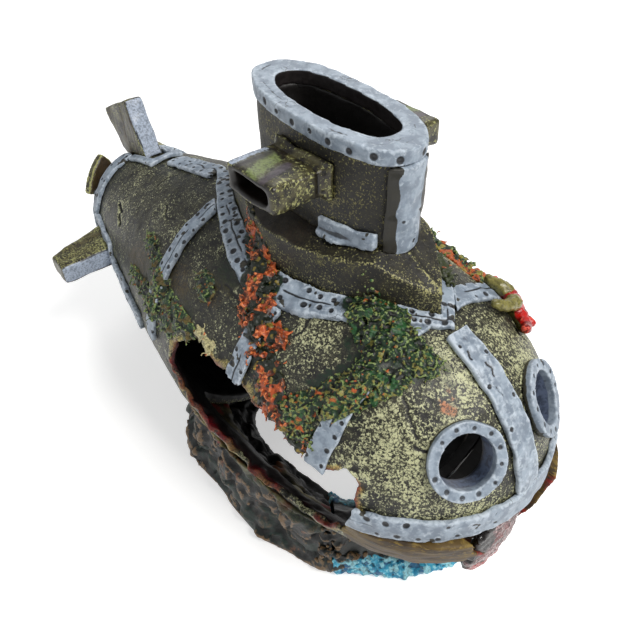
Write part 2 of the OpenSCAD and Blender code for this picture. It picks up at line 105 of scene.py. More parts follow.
def fractal(p, size, seed=0, octaves=3):
    total, share, full = np.zeros(len(p)), 1.0, 0.0
    for octave in range(octaves):
        total += share * noise(p, size / 2 ** octave, seed + 31 * octave)
        full += share
        share *= 0.55
    return total / full


def drift(p, size, seed, step=1):
    """Three noises side by side, as a direction for each point."""
    return np.stack([noise(p, size, seed + step * axis) for axis in range(3)], 1)


def cells(p, size, seed=0):
    """Distances to the nearest and second nearest of scattered points, and the nearest's own number."""
    q = (p @ TURN) / size
    cell = np.floor(q)
    first, second, own = np.full(len(p), 9.0), np.full(len(p), 9.0), np.zeros(len(p))
    for step in itertools.product((-1, 0, 1), repeat=3):
        c = cell + np.array(step)
        point = c + np.stack([lattice(c, seed + axis) for axis in range(3)], 1)
        d = np.linalg.norm(point - q, axis=1)
        closer = d < first
        second = np.where(closer, first, np.minimum(second, d))
        own = np.where(closer, lattice(c, seed + 5), own)
        first = np.where(closer, d, first)
    return first, second, own


def bell(distance, width):
    return np.exp(-(distance / width) ** 2)


def ramp(value, low, high):
    t = np.clip((value - low) / (high - low), 0, 1)
    return t * t * (3 - 2 * t)


# ---------------------------------------------------------------- the hull's own surface


def hull_radius(x):
    x = np.clip(np.asarray(x, float), -HALF_LEN, HALF_LEN)
    tail = HULL_R - (HULL_R - TAIL_R) * (np.maximum(-x, 0) / HALF_LEN) ** TAIL_POWER
    nose = HULL_R * np.sqrt(np.maximum(0, 1 - (np.maximum(x, 0) / HALF_LEN) ** NOSE_POWER))
    return np.where(x < 0, tail, nose)


def on_hull(x, angle, height=0.0):
    """Point of the hull at a station and an angle from the top towards starboard, in degrees."""
    a = np.radians(angle)
    r = hull_radius(x) + height
    return np.stack(np.broadcast_arrays(x, -r * np.sin(a), r * np.cos(a)), -1).astype(float)


def angle_of(p):
    return np.degrees(np.arctan2(-p[:, 1], p[:, 2]))


def depth_of(p):
    """How deep a point lies under the hull's outer surface."""
    slope = (hull_radius(p[:, 0] + 0.05) - hull_radius(p[:, 0] - 0.05)) / 0.1
    return (hull_radius(p[:, 0]) - np.hypot(p[:, 1], p[:, 2])) / np.sqrt(1 + np.clip(slope, -30, 30) ** 2)


RIP = np.array([
    (2, -5), (-3, 1), (-1, 9), (5, 14), (10, 16.5), (15, 14), (20, 15.6), (26, 14.4),
    (31, 12.6), (36, 13.4), (41, 11.6), (45, 9.2), (49, 9.6), (53, 12.4), (55.5, 9),
    (56.5, 3), (54, -6), (48, -12), (38, -14), (28, -12.5), (20, -9.5), (11, -8)], float)


def line_distance(p, line, closed=False):
    """Distance from each point to a chain of straight pieces, in as many dimensions as they have."""
    ends = np.roll(line, -1, 0) if closed else line[1:]
    starts = line if closed else line[:-1]
    best = np.full(len(p), 1e9)
    for a, b in zip(starts, ends):
        ab = b - a
        t = np.clip((p - a) @ ab / max(ab @ ab, 1e-12), 0, 1)
        best = np.minimum(best, np.linalg.norm(p - a - t[:, None] * ab, axis=1))
    return best


def rip_distance(p):
    d = line_distance(p[:, [0, 2]], RIP, closed=True)
    return np.where(np.abs(p[:, 1]) > 12, d, 99.0)


def evenly(line, spacing, start=0.0):
    """Points along a chain at even steps."""
    line = np.asarray(line, float)
    run = np.concatenate([[0], np.cumsum(np.linalg.norm(np.diff(line, axis=0), axis=1))])
    at = np.arange(start, run[-1], spacing)
    return np.stack([np.interp(at, run, line[:, axis]) for axis in range(line.shape[1])], 1)


def way_over_hull(x, angle, spot_x, spot_angle):
    """Distance over the hull from a spot at a station and an angle."""
    return np.hypot(x - spot_x, np.radians(angle - spot_angle) * hull_radius(spot_x))


def near_chain(x, angle, chain):
    """Signed nearness to a chain of round patches (station, angle, radius): positive inside."""
    best = np.full(len(x), -9.0)
    chain = np.asarray(chain, float)
    for (x1, a1, r1), (x2, a2, r2) in zip(chain[:-1], chain[1:]):
        for share in (0, 0.33, 0.67, 1.0):
            cx, ca, cr = x1 + share * (x2 - x1), a1 + share * (a2 - a1), r1 + share * (r2 - r1)
            best = np.maximum(best, cr - way_over_hull(x, angle, cx, ca))
    return best


# ---------------------------------------------------------------- clay meshes


def neighbours_mean(edges, count, values):
    out = np.zeros_like(values)
    degree = np.bincount(edges.ravel(), minlength=count).astype(float)
    flat = values.reshape(count, -1)
    for column in range(flat.shape[1]):
        v = flat[:, column]
        total = np.bincount(edges[:, 0], weights=v[edges[:, 1]], minlength=count)
        total += np.bincount(edges[:, 1], weights=v[edges[:, 0]], minlength=count)
        out.reshape(count, -1)[:, column] = total / np.maximum(degree, 1)
    return out


class Clay:
    """An even closed mesh in hull millimetres, whose points can be pushed about."""

    def __init__(self, obj):
        self.obj = obj
        mesh = obj.data
        self.count = len(mesh.vertices)
        flat = np.empty(self.count * 3)
        mesh.vertices.foreach_get("co", flat)
        self.p = (flat.reshape(-1, 3) - ORIGIN) / MM
        pairs = np.empty(len(mesh.edges) * 2, np.int64)
        mesh.edges.foreach_get("vertices", pairs)
        self.edges = pairs.reshape(-1, 2)
        # The stain colour holds real stains and painted shade alike.
        self.stain_and_shade = np.zeros((self.count, 4))
        self.dent = np.zeros(self.count)
        # light holds painted highlight above 0 and painted shade below 0.
        self.light = np.zeros(self.count)

    def put_back(self):
        mesh = self.obj.data
        mesh.vertices.foreach_set("co", (self.p * MM + ORIGIN).ravel())
        mesh.update()

    def normals(self):
        self.put_back()
        flat = np.empty(self.count * 3)
        self.obj.data.vertices.foreach_get("normal", flat)
        return flat.reshape(-1, 3)

    def smooth(self, rounds, share=0.5):
        for _ in range(rounds):
            self.p += share * (neighbours_mean(self.edges, self.count, self.p) - self.p)

    def blur(self, values, rounds):
        for _ in range(rounds):
            values = 0.5 * values + 0.5 * neighbours_mean(self.edges, self.count, values)
        return values

    def push(self, amount):
        self.p += self.normals() * np.asarray(amount)[:, None]

    def wobble(self, amount, size, seed):
        """A hand-made drift of the whole surface."""
        self.p += amount * drift(self.p, size, seed, 7)

    def grain(self, amount, size, seed, octaves=3):
        self.push(amount * fractal(self.p, size, seed, octaves))

    def rivets(self, points, radius=0.46, depth=0.34, care=0.2, paint=1.0):
        """Round dents with a low raised rim, as rivets pressed in by hand: a few are missing,
        and none is quite in place or of one size."""
        points = np.asarray(points, float)
        rng = np.random.default_rng(len(points) + int(100 * abs(points[0].sum())))
        points = points + rng.uniform(-care, care, size=points.shape)
        sizes = rng.uniform(0.8, 1.2, size=len(points))
        best = np.full(self.count, 99.0)
        for point, size in zip(points, sizes):
            if rng.random() < 0.4 * care:
                continue
            best = np.minimum(best, np.linalg.norm(self.p - point, axis=1) / size)
        self.push(-depth * bell(best, radius) + 0.07 * bell(best - 1.5 * radius, 0.3 * radius))
        ring = bell(best - 0.8 * radius, 0.4 * radius)
        self.dent = np.maximum(self.dent, paint * np.maximum(ring, 0.6 * bell(best, 0.6 * radius)))

    def score(self, line, width=0.22, depth=0.22, broken=0.0, seed=3, paint=1.0):
        """A scratched groove along a chain of points; broken from 0 to 1 leaves gaps in it."""
        d = line_distance(self.p, np.asarray(line, float))
        keep = ramp(noise(self.p, 4.0, seed), broken - 1.0, broken - 0.6) if broken else 1.0
        self.push(-depth * bell(d, width) * keep)
        self.dent = np.maximum(self.dent, paint * bell(d, width * 1.1) * keep)

    def tint(self, share, paint):
        """Lays a thin coat of paint over what is there; share is 0 to 1 at each point."""
        share = np.clip(share, 0, 1)
        new = np.array(paint[:3])
        old_share = self.stain_and_shade[:, 3]
        total = share + old_share * (1 - share)
        mixed = new[None] * share[:, None] + self.stain_and_shade[:, :3] * (old_share * (1 - share))[:, None]
        self.stain_and_shade[:, :3] = mixed / np.maximum(total, 1e-6)[:, None]
        self.stain_and_shade[:, 3] = total

    def patches(self, share, size, seed, low, high, paint):
        """Tints where noise of this size rises from low to high."""
        self.tint(share * ramp(noise(self.p, size, seed), low, high), paint)

    def attribute(self, name, values):
        a = self.obj.data.attributes.new(name, "FLOAT", "POINT")
        a.data.foreach_set("value", values.astype(np.float32))

    def finish(self, material, slot, wear_size=10, relief=0.10):
        """Writes the shape, the worn edges and the paint masks, and hands the piece to the frame."""
        self.put_back()
        before = self.p.copy()
        normal = self.normals()
        soft = before.copy()
        for _ in range(wear_size):
            soft += 0.6 * (neighbours_mean(self.edges, self.count, soft) - soft)
        height = np.einsum("ij,ij->i", before - soft, normal) / relief
        self.attribute("wear", np.clip(height, -1, 1))
        self.attribute("dent", np.clip(self.dent, 0, 1))
        self.attribute("light", np.clip(self.light, -1, 1))
        a = self.obj.data.attributes.new("stain_and_shade", "FLOAT_COLOR", "POINT")
        a.data.foreach_set("color", self.stain_and_shade.astype(np.float32).ravel())
        mesh = self.obj.data
        mesh.materials.clear()
        mesh.materials.append(material)
        mesh.polygons.foreach_set("use_smooth", np.ones(len(mesh.polygons), bool))
        mesh.update()
        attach(self.obj, "root")
        return self.obj


def remeshed(obj, voxel):
    """The same solid as one even closed mesh."""
    modifier = obj.modifiers.new("even", "REMESH")
    modifier.mode = "VOXEL"
    modifier.voxel_size = voxel * MM
    depsgraph = bpy.context.evaluated_depsgraph_get()
    mesh = bpy.data.meshes.new_from_object(obj.evaluated_get(depsgraph))
    obj.modifiers.clear()
    old = obj.data
    obj.data = mesh
    bpy.data.meshes.remove(old)
    return obj


def clay_of(node, name, voxel, smoothing=2):
    """Clay in the shape of a CAD node, which it stands for."""
    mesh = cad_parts[node].data.copy()
    bm = bmesh.new()
    bm.from_mesh(mesh)
    bmesh.ops.remove_doubles(bm, verts=bm.verts, dist=2e-6)
    bm.to_mesh(mesh)
    bm.free()
    obj = bpy.data.objects.new(name, mesh)
    bpy.context.scene.collection.objects.link(obj)
    remeshed(obj, voxel)
    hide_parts(node)
    clay = Clay(obj)
    clay.smooth(smoothing)
    return clay


def clay_from(name, parts, voxel, smoothing=1):
    """Clay made by melting many small closed meshes, each (points in hull mm, faces), into one."""
    points, faces, base = [], [], 0
    for p, f in parts:
        points.append(p)
        faces.extend([tuple(i + base for i in face) for face in f])
        base += len(p)
    mesh = bpy.data.meshes.new(name)
    mesh.from_pydata((np.concatenate(points) * MM + ORIGIN).tolist(), [], faces)
    obj = bpy.data.objects.new(name, mesh)
    bpy.context.scene.collection.objects.link(obj)
    remeshed(obj, voxel)
    clay = Clay(obj)
    clay.smooth(smoothing)
    return clay


# ---------------------------------------------------------------- painted resin


class Graph:
    """Short hand for the node tree of a material or a world."""

    def __init__(self, owner, output="ShaderNodeOutputMaterial"):
        self.owner = owner
        owner.use_nodes = True
        self.tree = owner.node_tree
        self.tree.nodes.clear()
        self.output = self.add(output)

    def surface(self, shader):
        self.tree.links.new(shader.outputs[0], self.output.inputs["Surface"])
        return self.owner

    def add(self, kind, inputs=(), **settings):
        node = self.tree.nodes.new(kind)
        for key, value in settings.items():
            setattr(node, key, value)
        for key, value in dict(inputs).items():
            if isinstance(value, bpy.types.NodeSocket):
                self.tree.links.new(value, node.inputs[key])
            else:
                node.inputs[key].default_value = value
        return node

    def math(self, operation, a, b):
        return self.add("ShaderNodeMath", {0: a, 1: b}, operation=operation).outputs[0]

    def plus(self, a, b, gain=1.0, middle=0.0):
        """a + gain * (b - middle)"""
        if middle:
            b = self.math("SUBTRACT", b, middle)
        if gain != 1.0:
            b = self.math("MULTIPLY", b, gain)
        return self.math("ADD", a, b)

    def cover(self, share, strength, below, above):
        """Lays one paint over another where share is high, at the given strength."""
        return self.mix(self.math("MULTIPLY", share, strength), below, above)

    def cell_lines(self, scale, bend_scale, detail, bend_by):
        """Distance to the borders of wavering cells."""
        place = self.add("ShaderNodeTexCoord").outputs["Object"]
        bend = self.add("ShaderNodeTexNoise", {"Vector": place, "Scale": bend_scale, "Detail": detail})
        bend = self.add("ShaderNodeVectorMath", {0: bend.outputs[1], 3: bend_by}, operation="SCALE")
        bent = self.add("ShaderNodeVectorMath", {0: place, 1: bend.outputs[0]}, operation="ADD").outputs[0]
        web = self.add("ShaderNodeTexVoronoi", {"Vector": bent, "Scale": scale}, feature="DISTANCE_TO_EDGE")
        return web.outputs["Distance"]

    def step(self, value, low, high):
        """Rises smoothly from 0 to 1 as value goes from low to high."""
        node = self.add("ShaderNodeMapRange", {0: value, 1: low, 2: high, 3: 0.0, 4: 1.0},
                        interpolation_type="SMOOTHSTEP")
        return node.outputs[0]

    def mix(self, share, a, b):
        node = self.add("ShaderNodeMix", {0: share, 6: a, 7: b}, data_type="RGBA")
        return node.outputs[2]

    def noise(self, size_mm, detail=2.0, roughness=0.6, distortion=0.0, stretch=(1, 1, 1)):
        place = self.add("ShaderNodeTexCoord").outputs["Object"]
        if stretch != (1, 1, 1):
            place = self.add("ShaderNodeMapping", {0: place, 3: stretch}).outputs[0]
        node = self.add("ShaderNodeTexNoise", {
            "Vector": place, "Scale": 1 / (size_mm * MM), "Detail": detail,
            "Roughness": roughness, "Distortion": distortion})
        return node.outputs[0]

    def value(self, name):
        return self.add("ShaderNodeAttribute", attribute_name=name).outputs["Fac"]


def painted(name, dark, mid, light, grain=0.9, cover=0.50, contrast=0.06, wear=0.10, wash=None,
            stretch=(1, 1, 1), rough=0.55, bump=0.35, crack=0.25, edge=None, leather=0.0):
    """Hand-painted cast resin: a dark ground, a mottled middle coat, light grains brushed over
    the high spots, dark wash in the low ones, then local stains and painted shade. The light
    value adds painted highlight and painted shade by laying more or fewer light grains. cover
    is the noise level at which the light grains begin: lower is more of them."""
    g = Graph(bpy.data.materials.new(name))
    broad = g.noise(9.0, 2.0)
    middle = g.noise(2.6, 3.0, stretch=stretch)
    fine = g.noise(grain, 3.0, 0.62, distortion=0.5, stretch=stretch)
    worn = g.value("wear")
    ground = g.mix(g.step(middle, 0.40, 0.62), dark, mid)
    drive = g.plus(fine, worn, wear)
    # Painted highlight and painted shade: the light value lays more or fewer light grains.
    drive = g.plus(drive, g.value("light"), 0.07)
    drive = g.plus(drive, broad, 0.32, 0.5)
    coat = g.mix(g.step(drive, cover, cover + contrast), ground, light)
    if edge is not None:
        coat = g.mix(g.step(g.plus(worn, middle, 0.9, 0.5), 0.62, 0.95), coat, edge)
    # The stain colour lays real stains and painted shade: dark insides, hollows and shaded sides.
    stain_and_shade = g.add("ShaderNodeAttribute", attribute_name="stain_and_shade")
    share, paint = stain_and_shade.outputs["Alpha"], stain_and_shade.outputs["Color"]
    stain_and_shade_cover = g.step(g.plus(share, fine, 0.9, 0.5), 0.30, 0.62)
    paint = g.mix(g.step(fine, 0.36, 0.60), g.mix(0.5, paint, BLACK_WASH), paint)
    coat = g.cover(stain_and_shade_cover, g.step(share, 0.02, 0.25), coat, paint)
    wash = wash or tuple(0.35 * c for c in dark[:3]) + (1.0,)
    coat = g.cover(g.step(g.plus(worn, fine, 0.8, 0.5), -0.18, -0.75), 0.85, coat, wash)
    if leather:
        pores = g.step(g.cell_lines(1050.0, 900.0, 2.0, 0.0012), 0.13, 0.02)
        pores = g.math("MULTIPLY", pores, g.step(middle, 0.36, 0.56))
        coat = g.cover(pores, leather, coat, wash)
    relief = g.plus(g.math("MULTIPLY", fine, 0.8), middle, 0.5)
    if crack:
        lines = g.step(g.cell_lines(110.0, 420.0, 3.0, 0.006), 0.022, 0.004)
        lines = g.math("MULTIPLY", lines, g.step(g.noise(7.0, 1.0), 0.60, 0.68))
        coat = g.cover(lines, crack, coat, wash)
        relief = g.math("SUBTRACT", relief, g.math("MULTIPLY", lines, 0.5))
    coat = g.cover(g.step(g.value("dent"), 0.25, 0.7), 0.93, coat, wash)
    bumped = g.add("ShaderNodeBump", {"Strength": bump, "Distance": 0.35 * MM, "Height": relief})
    gloss = g.plus(rough - 0.12, fine, 0.24)
    shader = g.add("ShaderNodeBsdfPrincipled", {
        "Base Color": coat, "Roughness": gloss, "Normal": bumped.outputs[0]})
    return g.surface(shader)


BLACK_WASH = colour(16, 14, 13)
HULL = painted("hull_paint", colour(22, 21, 18), colour(60, 59, 46), colour(190, 191, 150),
               grain=0.50, cover=0.535, contrast=0.13, wear=0.12, wash=BLACK_WASH, crack=0.8,
               rough=0.48, leather=0.72)
DECK = painted("deck_paint", colour(24, 22, 18), colour(48, 45, 32), colour(160, 156, 106),
               grain=0.42, cover=0.575, contrast=0.12, wear=0.16, wash=BLACK_WASH, crack=0.5,
               edge=colour(148, 146, 94), leather=0.6)
TOWER = painted("tower_paint", colour(16, 14, 11), colour(34, 32, 22), colour(134, 128, 82),
                grain=0.42, cover=0.565, contrast=0.12, wear=0.12, wash=BLACK_WASH, crack=0.6,
                leather=0.6)
STRAP = painted("strap_paint", colour(118, 130, 144), colour(148, 161, 175), colour(186, 197, 208),
                grain=1.1, cover=0.52, contrast=0.34, wear=0.20, wash=colour(26, 27, 30), crack=0.6,
                rough=0.46, bump=0.14)
PLANE = painted("plane_paint", colour(34, 30, 24), colour(74, 70, 46), colour(160, 160, 106),
                grain=0.6, cover=0.550, contrast=0.14, wear=0.16, wash=BLACK_WASH, crack=0.3,
                rough=0.38, bump=0.2, edge=colour(158, 156, 98))
BELLY = painted("belly_paint", colour(54, 40, 20), colour(86, 67, 26), colour(128, 106, 48),
                grain=0.7, cover=0.55, contrast=0.18, wear=0.14, wash=colour(30, 22, 13), crack=0.3,
                rough=0.60, stretch=(0.35, 0.6, 1.6), edge=colour(128, 106, 48))
ROCK = painted("rock_paint", colour(7, 10, 9), colour(19, 27, 22), colour(120, 96, 68),
               grain=0.6, cover=0.69, contrast=0.16, wear=0.40, wash=colour(3, 4, 4), crack=0.2,
               rough=0.50, bump=0.5)
GRAVEL = painted("gravel_paint", colour(24, 128, 166), colour(62, 172, 206), colour(150, 216, 230),
                 grain=0.8, cover=0.55, contrast=0.14, wear=0.20, wash=colour(6, 50, 72), crack=0.0,
                 rough=0.40, bump=0.3)
MOSS = painted("moss_paint", colour(8, 20, 11), colour(24, 54, 28), colour(122, 140, 80),
               grain=0.4, cover=0.58, contrast=0.12, wear=0.26, wash=colour(3, 7, 4), crack=0.0,
               rough=0.46, bump=0.4)
CORAL = painted("coral_paint", colour(58, 32, 17), colour(172, 76, 34), colour(218, 124, 72),
                grain=0.5, cover=0.58, contrast=0.12, wear=0.22, wash=colour(12, 16, 10), crack=0.0,
                rough=0.46, bump=0.4)
STAR = painted("starfish_paint", colour(112, 18, 14), colour(190, 32, 26), colour(232, 92, 74),
               grain=0.8, cover=0.62, contrast=0.12, wear=0.25, wash=colour(42, 10, 8), crack=0.0,
               rough=0.32, bump=0.25)
LINING = painted("lining_paint", colour(66, 40, 40), colour(122, 84, 84), colour(196, 164, 164),
                 grain=0.5, cover=0.58, contrast=0.14, wear=0.2, wash=colour(26, 12, 12), crack=0.0,
                 rough=0.28, bump=0.3)

# Painted shade: near black for insides, bores and the ground under the hull.
INSIDE_SHADE = colour(9, 8, 7)
CRIMSON = colour(128, 20, 32)
LIP = colour(182, 170, 104)
MOSS_STAIN = colour(17, 42, 24)
OLIVE_BROWN = colour(82, 66, 34)
RUST = colour(188, 92, 42)
FADED_ORANGE = colour(176, 108, 72)
DARK_RED = colour(52, 20, 24)
TUBE_BLUE = colour(98, 110, 134)
RING_SHADE = colour(60, 58, 46)
LEAF_GREEN = colour(116, 128, 78)
PLUM_GREY = colour(78, 70, 76)
BLUE_GREY = colour(172, 184, 202)
DARK_GREY = colour(58, 54, 52)
# Painted shade for the hollow at a sail plane's tip.
PLANE_HOLLOW_SHADE = colour(24, 17, 12)
ROOT_OLIVE = colour(40, 36, 24)
DULL_OCHRE = colour(112, 78, 36)
BRICK_RED = colour(150, 30, 24)
DRY_GRASS = colour(120, 116, 66)
# Painted shade for the deck top beside the tower.
DECK_STARBOARD_SHADE = colour(44, 36, 28)
# Painted shade for the tower's well.
TOWER_WELL_SHADE = colour(20, 16, 15)
# Painted shade for the tower's starboard side low down.
TOWER_SIDE_SHADE = colour(34, 27, 20)
# Painted shade for the rim's inner wall.
RIM_INSIDE_SHADE = colour(40, 36, 36)
BARE_GREY = colour(62, 60, 52)
SOOT_OLIVE = colour(34, 32, 22)
RIB_BROWN = colour(70, 52, 24)
EARTH_BROWN = colour(64, 52, 36)
# Painted shade for the rock's bowl under the hull.
BOWL_SHADE = colour(12, 9, 9)
SAND = colour(150, 138, 82)
CLAY_BROWN = colour(128, 82, 58)
SEA_GREEN = colour(18, 46, 38)
MUD_OLIVE = colour(48, 42, 22)
ICE_BLUE = colour(150, 214, 228)
DEEP_BLUE = colour(16, 96, 140)
WET_STONE = colour(22, 30, 28)
DRY_STONE = colour(92, 78, 56)
LEAF_BLACK = colour(22, 32, 17)
MUSTARD = colour(148, 130, 52)
LEAF_SHADE = colour(24, 34, 18)
LIGHT_MUSTARD = colour(158, 134, 52)
LIGHT_MOSS = colour(42, 88, 46)
MOSS_TIP = colour(138, 132, 66)
RIDGE_YELLOW = colour(150, 140, 60)
BONE = colour(196, 188, 140)
BARK_RED = colour(96, 44, 34)
WEED_GREEN = colour(54, 62, 30)
WEED_BROWN = colour(96, 84, 42)
BURNT_ORANGE = colour(134, 78, 36)
STAR_OLIVE = colour(104, 96, 48)
STAR_YELLOW = colour(132, 126, 70)
LINING_RED = colour(160, 30, 26)
# Painted shade for the dark of the notch.
LINING_SHADE = colour(20, 12, 12)

# ---------------------------------------------------------------- growth patches (station, angle, radius)

CORAL_UPPER = [(6, 19, 1.0), (9, 22, 1.4), (12, 25, 1.9), (15, 29, 3.0), (17, 34, 3.9),
               (18.5, 39, 4.2), (21, 43, 3.6), (25, 43.5, 2.2), (28.5, 42, 1.8)]
CORAL_LOWER = [(26, 52, 1.8), (29, 53.5, 2.8), (31, 58, 3.3), (34, 62, 3.0), (38, 65.5, 2.2), (43, 69, 1.3)]
MOSS_UPPER = [(38, 17, 2.4), (42, 20, 3.6), (46.5, 21, 4.4), (51, 19, 2.8), (54.5, 16, 1.8)]
MOSS_MIDDLE = [(46.5, 21, 4.0), (49.5, 27, 3.8), (48.5, 34, 3.2), (47.3, 41, 2.8), (45, 47, 3.0)]
MOSS_LOWER = [(45, 46, 2.8), (43, 51, 2.6), (40, 56, 2.4), (38.5, 61, 2.6), (43, 64, 2.0)]
MOSS_PORT = [(24, -43, 1.6), (29, -44, 2.8), (35, -44, 3.4), (41, -44, 3.2), (46, -44, 2.2)]

# Chains with how far their green runs on to the hull, and round spots of paint on it.
STAINED_CHAINS = [(CORAL_UPPER, 5), (MOSS_UPPER, 5), (MOSS_MIDDLE, 6), (MOSS_LOWER, 5), (MOSS_PORT, 4)]
MOSS_SPOTS = [(7, 33, 7), (-27, 47, 3.6), (-22, 58, 5), (-11, 61, 5), (0, 58, 5), (-32, 75, 7), (-18, 75, 6)]
BROWN_SPOTS = [(-6, 50, 7), (8, 48, 5), (30, 58, 6), (-30, 64, 8)]
# Painted highlights: pools of light on the hull at these spots (station, angle, radius).
HIGHLIGHT_SPOTS = [(34, 40, 9), (61, 44, 9), (57, 8, 7), (67, 62, 8), (56, 62, 7), (62, -30, 11), (33, -44, 9)]
ORANGE_SPOT = (60.8, 22.5, 1.9)

# ---------------------------------------------------------------- hull and its plates


def crack_line(x, angle, turn, steps, length, seed):
    """A wandering line over the hull, from a station and an angle, heading turn degrees off the nose."""
    rng = np.random.default_rng(seed)
    points = []
    for _ in range(steps):
        points.append(on_hull(x, angle, 0.1))
        turn += rng.uniform(-38, 38)
        x += length * math.cos(math.radians(turn))
        angle += math.degrees(length * math.sin(math.radians(turn)) / float(hull_radius(x)))
    return np.array(points)


HULL_CRACKS = [
    (54.5, 32, -8, 9, 0.9, 4), (30, 30, 60, 7, 1.0, 8), (64, 40, 120, 6, 0.8, 9),
    (-30, 30, 40, 8, 1.3, 12), (-40, 10, 100, 7, 1.2, 15), (8, 40, -20, 8, 1.1, 21),
    (-22, 62, 30, 8, 1.2, 23), (-35, -40, 70, 9, 1.3, 27), (10, -50, 20, 9, 1.2, 33),
    (58, -40, 140, 7, 0.9, 35), (-5, 110, 10, 9, 1.4, 41), (-40, 120, 40, 9, 1.4, 43),
    (-48, 170, 60, 8, 1.3, 47), (-20, -110, 20, 9, 1.4, 51)]


def make_hull():
    clay = clay_of("hull_shell", "hull_plating", 0.42)
    depth = depth_of(clay.p)
    inner = ramp(depth, 1.2, 2.0)
    torn = rip_distance(clay.p)
    edge = bell(torn, 2.4)
    away = clay.p * np.array([0, 1, 1])
    away /= np.maximum(np.linalg.norm(away, axis=1), 1)[:, None]
    clay.p += away * (inner * 1.5 * bell(torn, 2.2))[:, None]
    clay.p += drift(clay.p, 2.2, 3) * (0.75 * edge)[:, None]
    clay.p += away * (edge * 0.5 * (noise(clay.p, 5, 9) + 0.4))[:, None]
    clay.push(0.26 * fractal(clay.p, 11, 1) + 0.11 * fractal(clay.p, 2.6, 2, 2))
    clay.push(0.035 * noise(clay.p, 0.9, 5) + 0.5 * inner * fractal(clay.p, 6, 6))
    for spec in HULL_CRACKS:
        clay.score(crack_line(*spec), 0.26, 0.28, paint=0.9)
    slit = [on_hull(-55.0, 49.0), on_hull(-51.6, 51.5), on_hull(-51.8, 54.5), on_hull(-48.8, 58.5)]
    clay.score(slit, 0.55, 0.9)
    clay.score([on_hull(-51.6, 51.5), on_hull(-50.2, 50.3)], 0.4, 0.5)
    x, angle = clay.p[:, 0], angle_of(clay.p)
    outer = 1 - inner
    broad, speck = fractal(clay.p, 7, 71), noise(clay.p, 1.1, 73)
    mottle = 3.0 * broad + 2.4 * speck
    for chain, reach in STAINED_CHAINS:
        near = near_chain(x, angle, chain)
        clay.tint(outer * 0.46 * ramp(near + mottle, -0.8 * reach, 1.5), MOSS_STAIN)
    for cx, ca, cr in MOSS_SPOTS:
        d = way_over_hull(x, angle, cx, ca)
        clay.tint(outer * 0.46 * ramp(cr + mottle - d, -2, 4), MOSS_STAIN)
    for cx, ca, cr in BROWN_SPOTS:
        d = way_over_hull(x, angle, cx, ca)
        clay.tint(outer * 0.42 * ramp(cr + 3 * broad + speck - d, -3, 5), OLIVE_BROWN)
    cx, ca, cr = ORANGE_SPOT
    d = way_over_hull(x, angle, cx, ca)
    clay.tint(outer * 0.5 * ramp(cr + 1.6 * noise(clay.p, 1.1, 44) - d, -1.0, 1.2), FADED_ORANGE)
    # Painted shade: the hull's inner surface near black.
    clay.tint(inner * 0.97, INSIDE_SHADE)
    clay.tint(inner * 0.5 * bell(torn, 6) * (0.6 + 0.6 * broad), DARK_RED)
    hem = bell(torn - 0.9, 0.9) * outer
    clay.tint(hem * (0.35 + 0.9 * noise(clay.p, 5, 13)), LIP)
    clay.tint(0.95 * bell(torn, 0.85) * (0.45 + 0.8 * noise(clay.p, 3.2, 17)), CRIMSON)
    # Painted highlight at the spots above, painted shade over the rest of the hull.
    for cx, ca, cr in HIGHLIGHT_SPOTS:
        clay.light += 1.5 * bell(way_over_hull(x, angle, cx, ca), cr)
    clay.light -= 0.4
    return clay.finish(HULL, "hull")


def make_belly():
    clay = clay_of("belly_plate", "bow_belly_plate", 0.34)
    outer_gap = np.linalg.norm(clay.p * np.array([0, 1, 1]), axis=1)
    clay.wobble(0.35, 4.5, 2)
    streak = np.stack([clay.p[:, 0] * 0.25, clay.p[:, 1] * 0.5, clay.p[:, 2] * 1.8], 1)
    clay.push(0.16 * fractal(streak, 2.0, 5, 2) + 0.2 * fractal(clay.p, 7, 6))
    low = ramp(-clay.p[:, 2], 8, 26)
    clay.tint(0.5 * low, DULL_OCHRE)
    clay.tint(0.8 * ramp(clay.p[:, 0], 62, 72) * ramp(2.2 - np.abs(np.abs(clay.p[:, 1]) - 9), -2, 1) *
              (0.5 + noise(clay.p, 3, 8)), BRICK_RED)
    # Painted shade on the plate's inner face.
    inside = ramp(hull_radius(clay.p[:, 0]) - outer_gap, 0.9, 1.8)
    clay.tint(0.98 * inside, INSIDE_SHADE)
    return clay.finish(BELLY, "belly", 5, 0.2)


def make_deck():
    clay = clay_of("deck_casing", "deck_casing_cast", 0.36)
    top = ramp(clay.normals()[:, 2], 0.55, 0.85)
    clay.wobble(0.22, 5, 11)
    clay.push(top * 0.16 * fractal(clay.p, 1.7, 12, 2) + 0.2 * fractal(clay.p, 6, 13))
    ridge = [(39.5, 0, 46), (43, -0.4, 44), (46.5, 0.2, 42), (49, 0, 40)]
    clay.push(0.45 * bell(line_distance(clay.p[:, [0, 1]], np.array(ridge)[:, :2]), 0.7) * top)
    side = 1 - top
    clay.tint(0.45 * side * (0.5 + fractal(clay.p, 6, 15)), DRY_GRASS)
    clay.rivets([(29.5, -12.6, 40.6), (44.5, 4.5, 41.5)], 0.5, 0.4)
    # Painted shade: the deck top darker on starboard, aft of x 30 beside the tower.
    starboard = ramp(-clay.p[:, 1], -2, 3) * ramp(30 - clay.p[:, 0], 0, 10)
    clay.tint(0.5 * top * starboard, DECK_STARBOARD_SHADE)
    # Painted highlight: the deck top lighter.
    clay.light += 0.2 * top
    return clay.finish(DECK, "hull", 5, 0.16)


def tower_oval(x, y, half_length, half_width):
    """Below 1 inside an oval of the tower's plan shape."""
    return (np.abs(x - TOWER_X) / half_length) ** TOWER_POWER + (np.abs(y) / half_width) ** TOWER_POWER


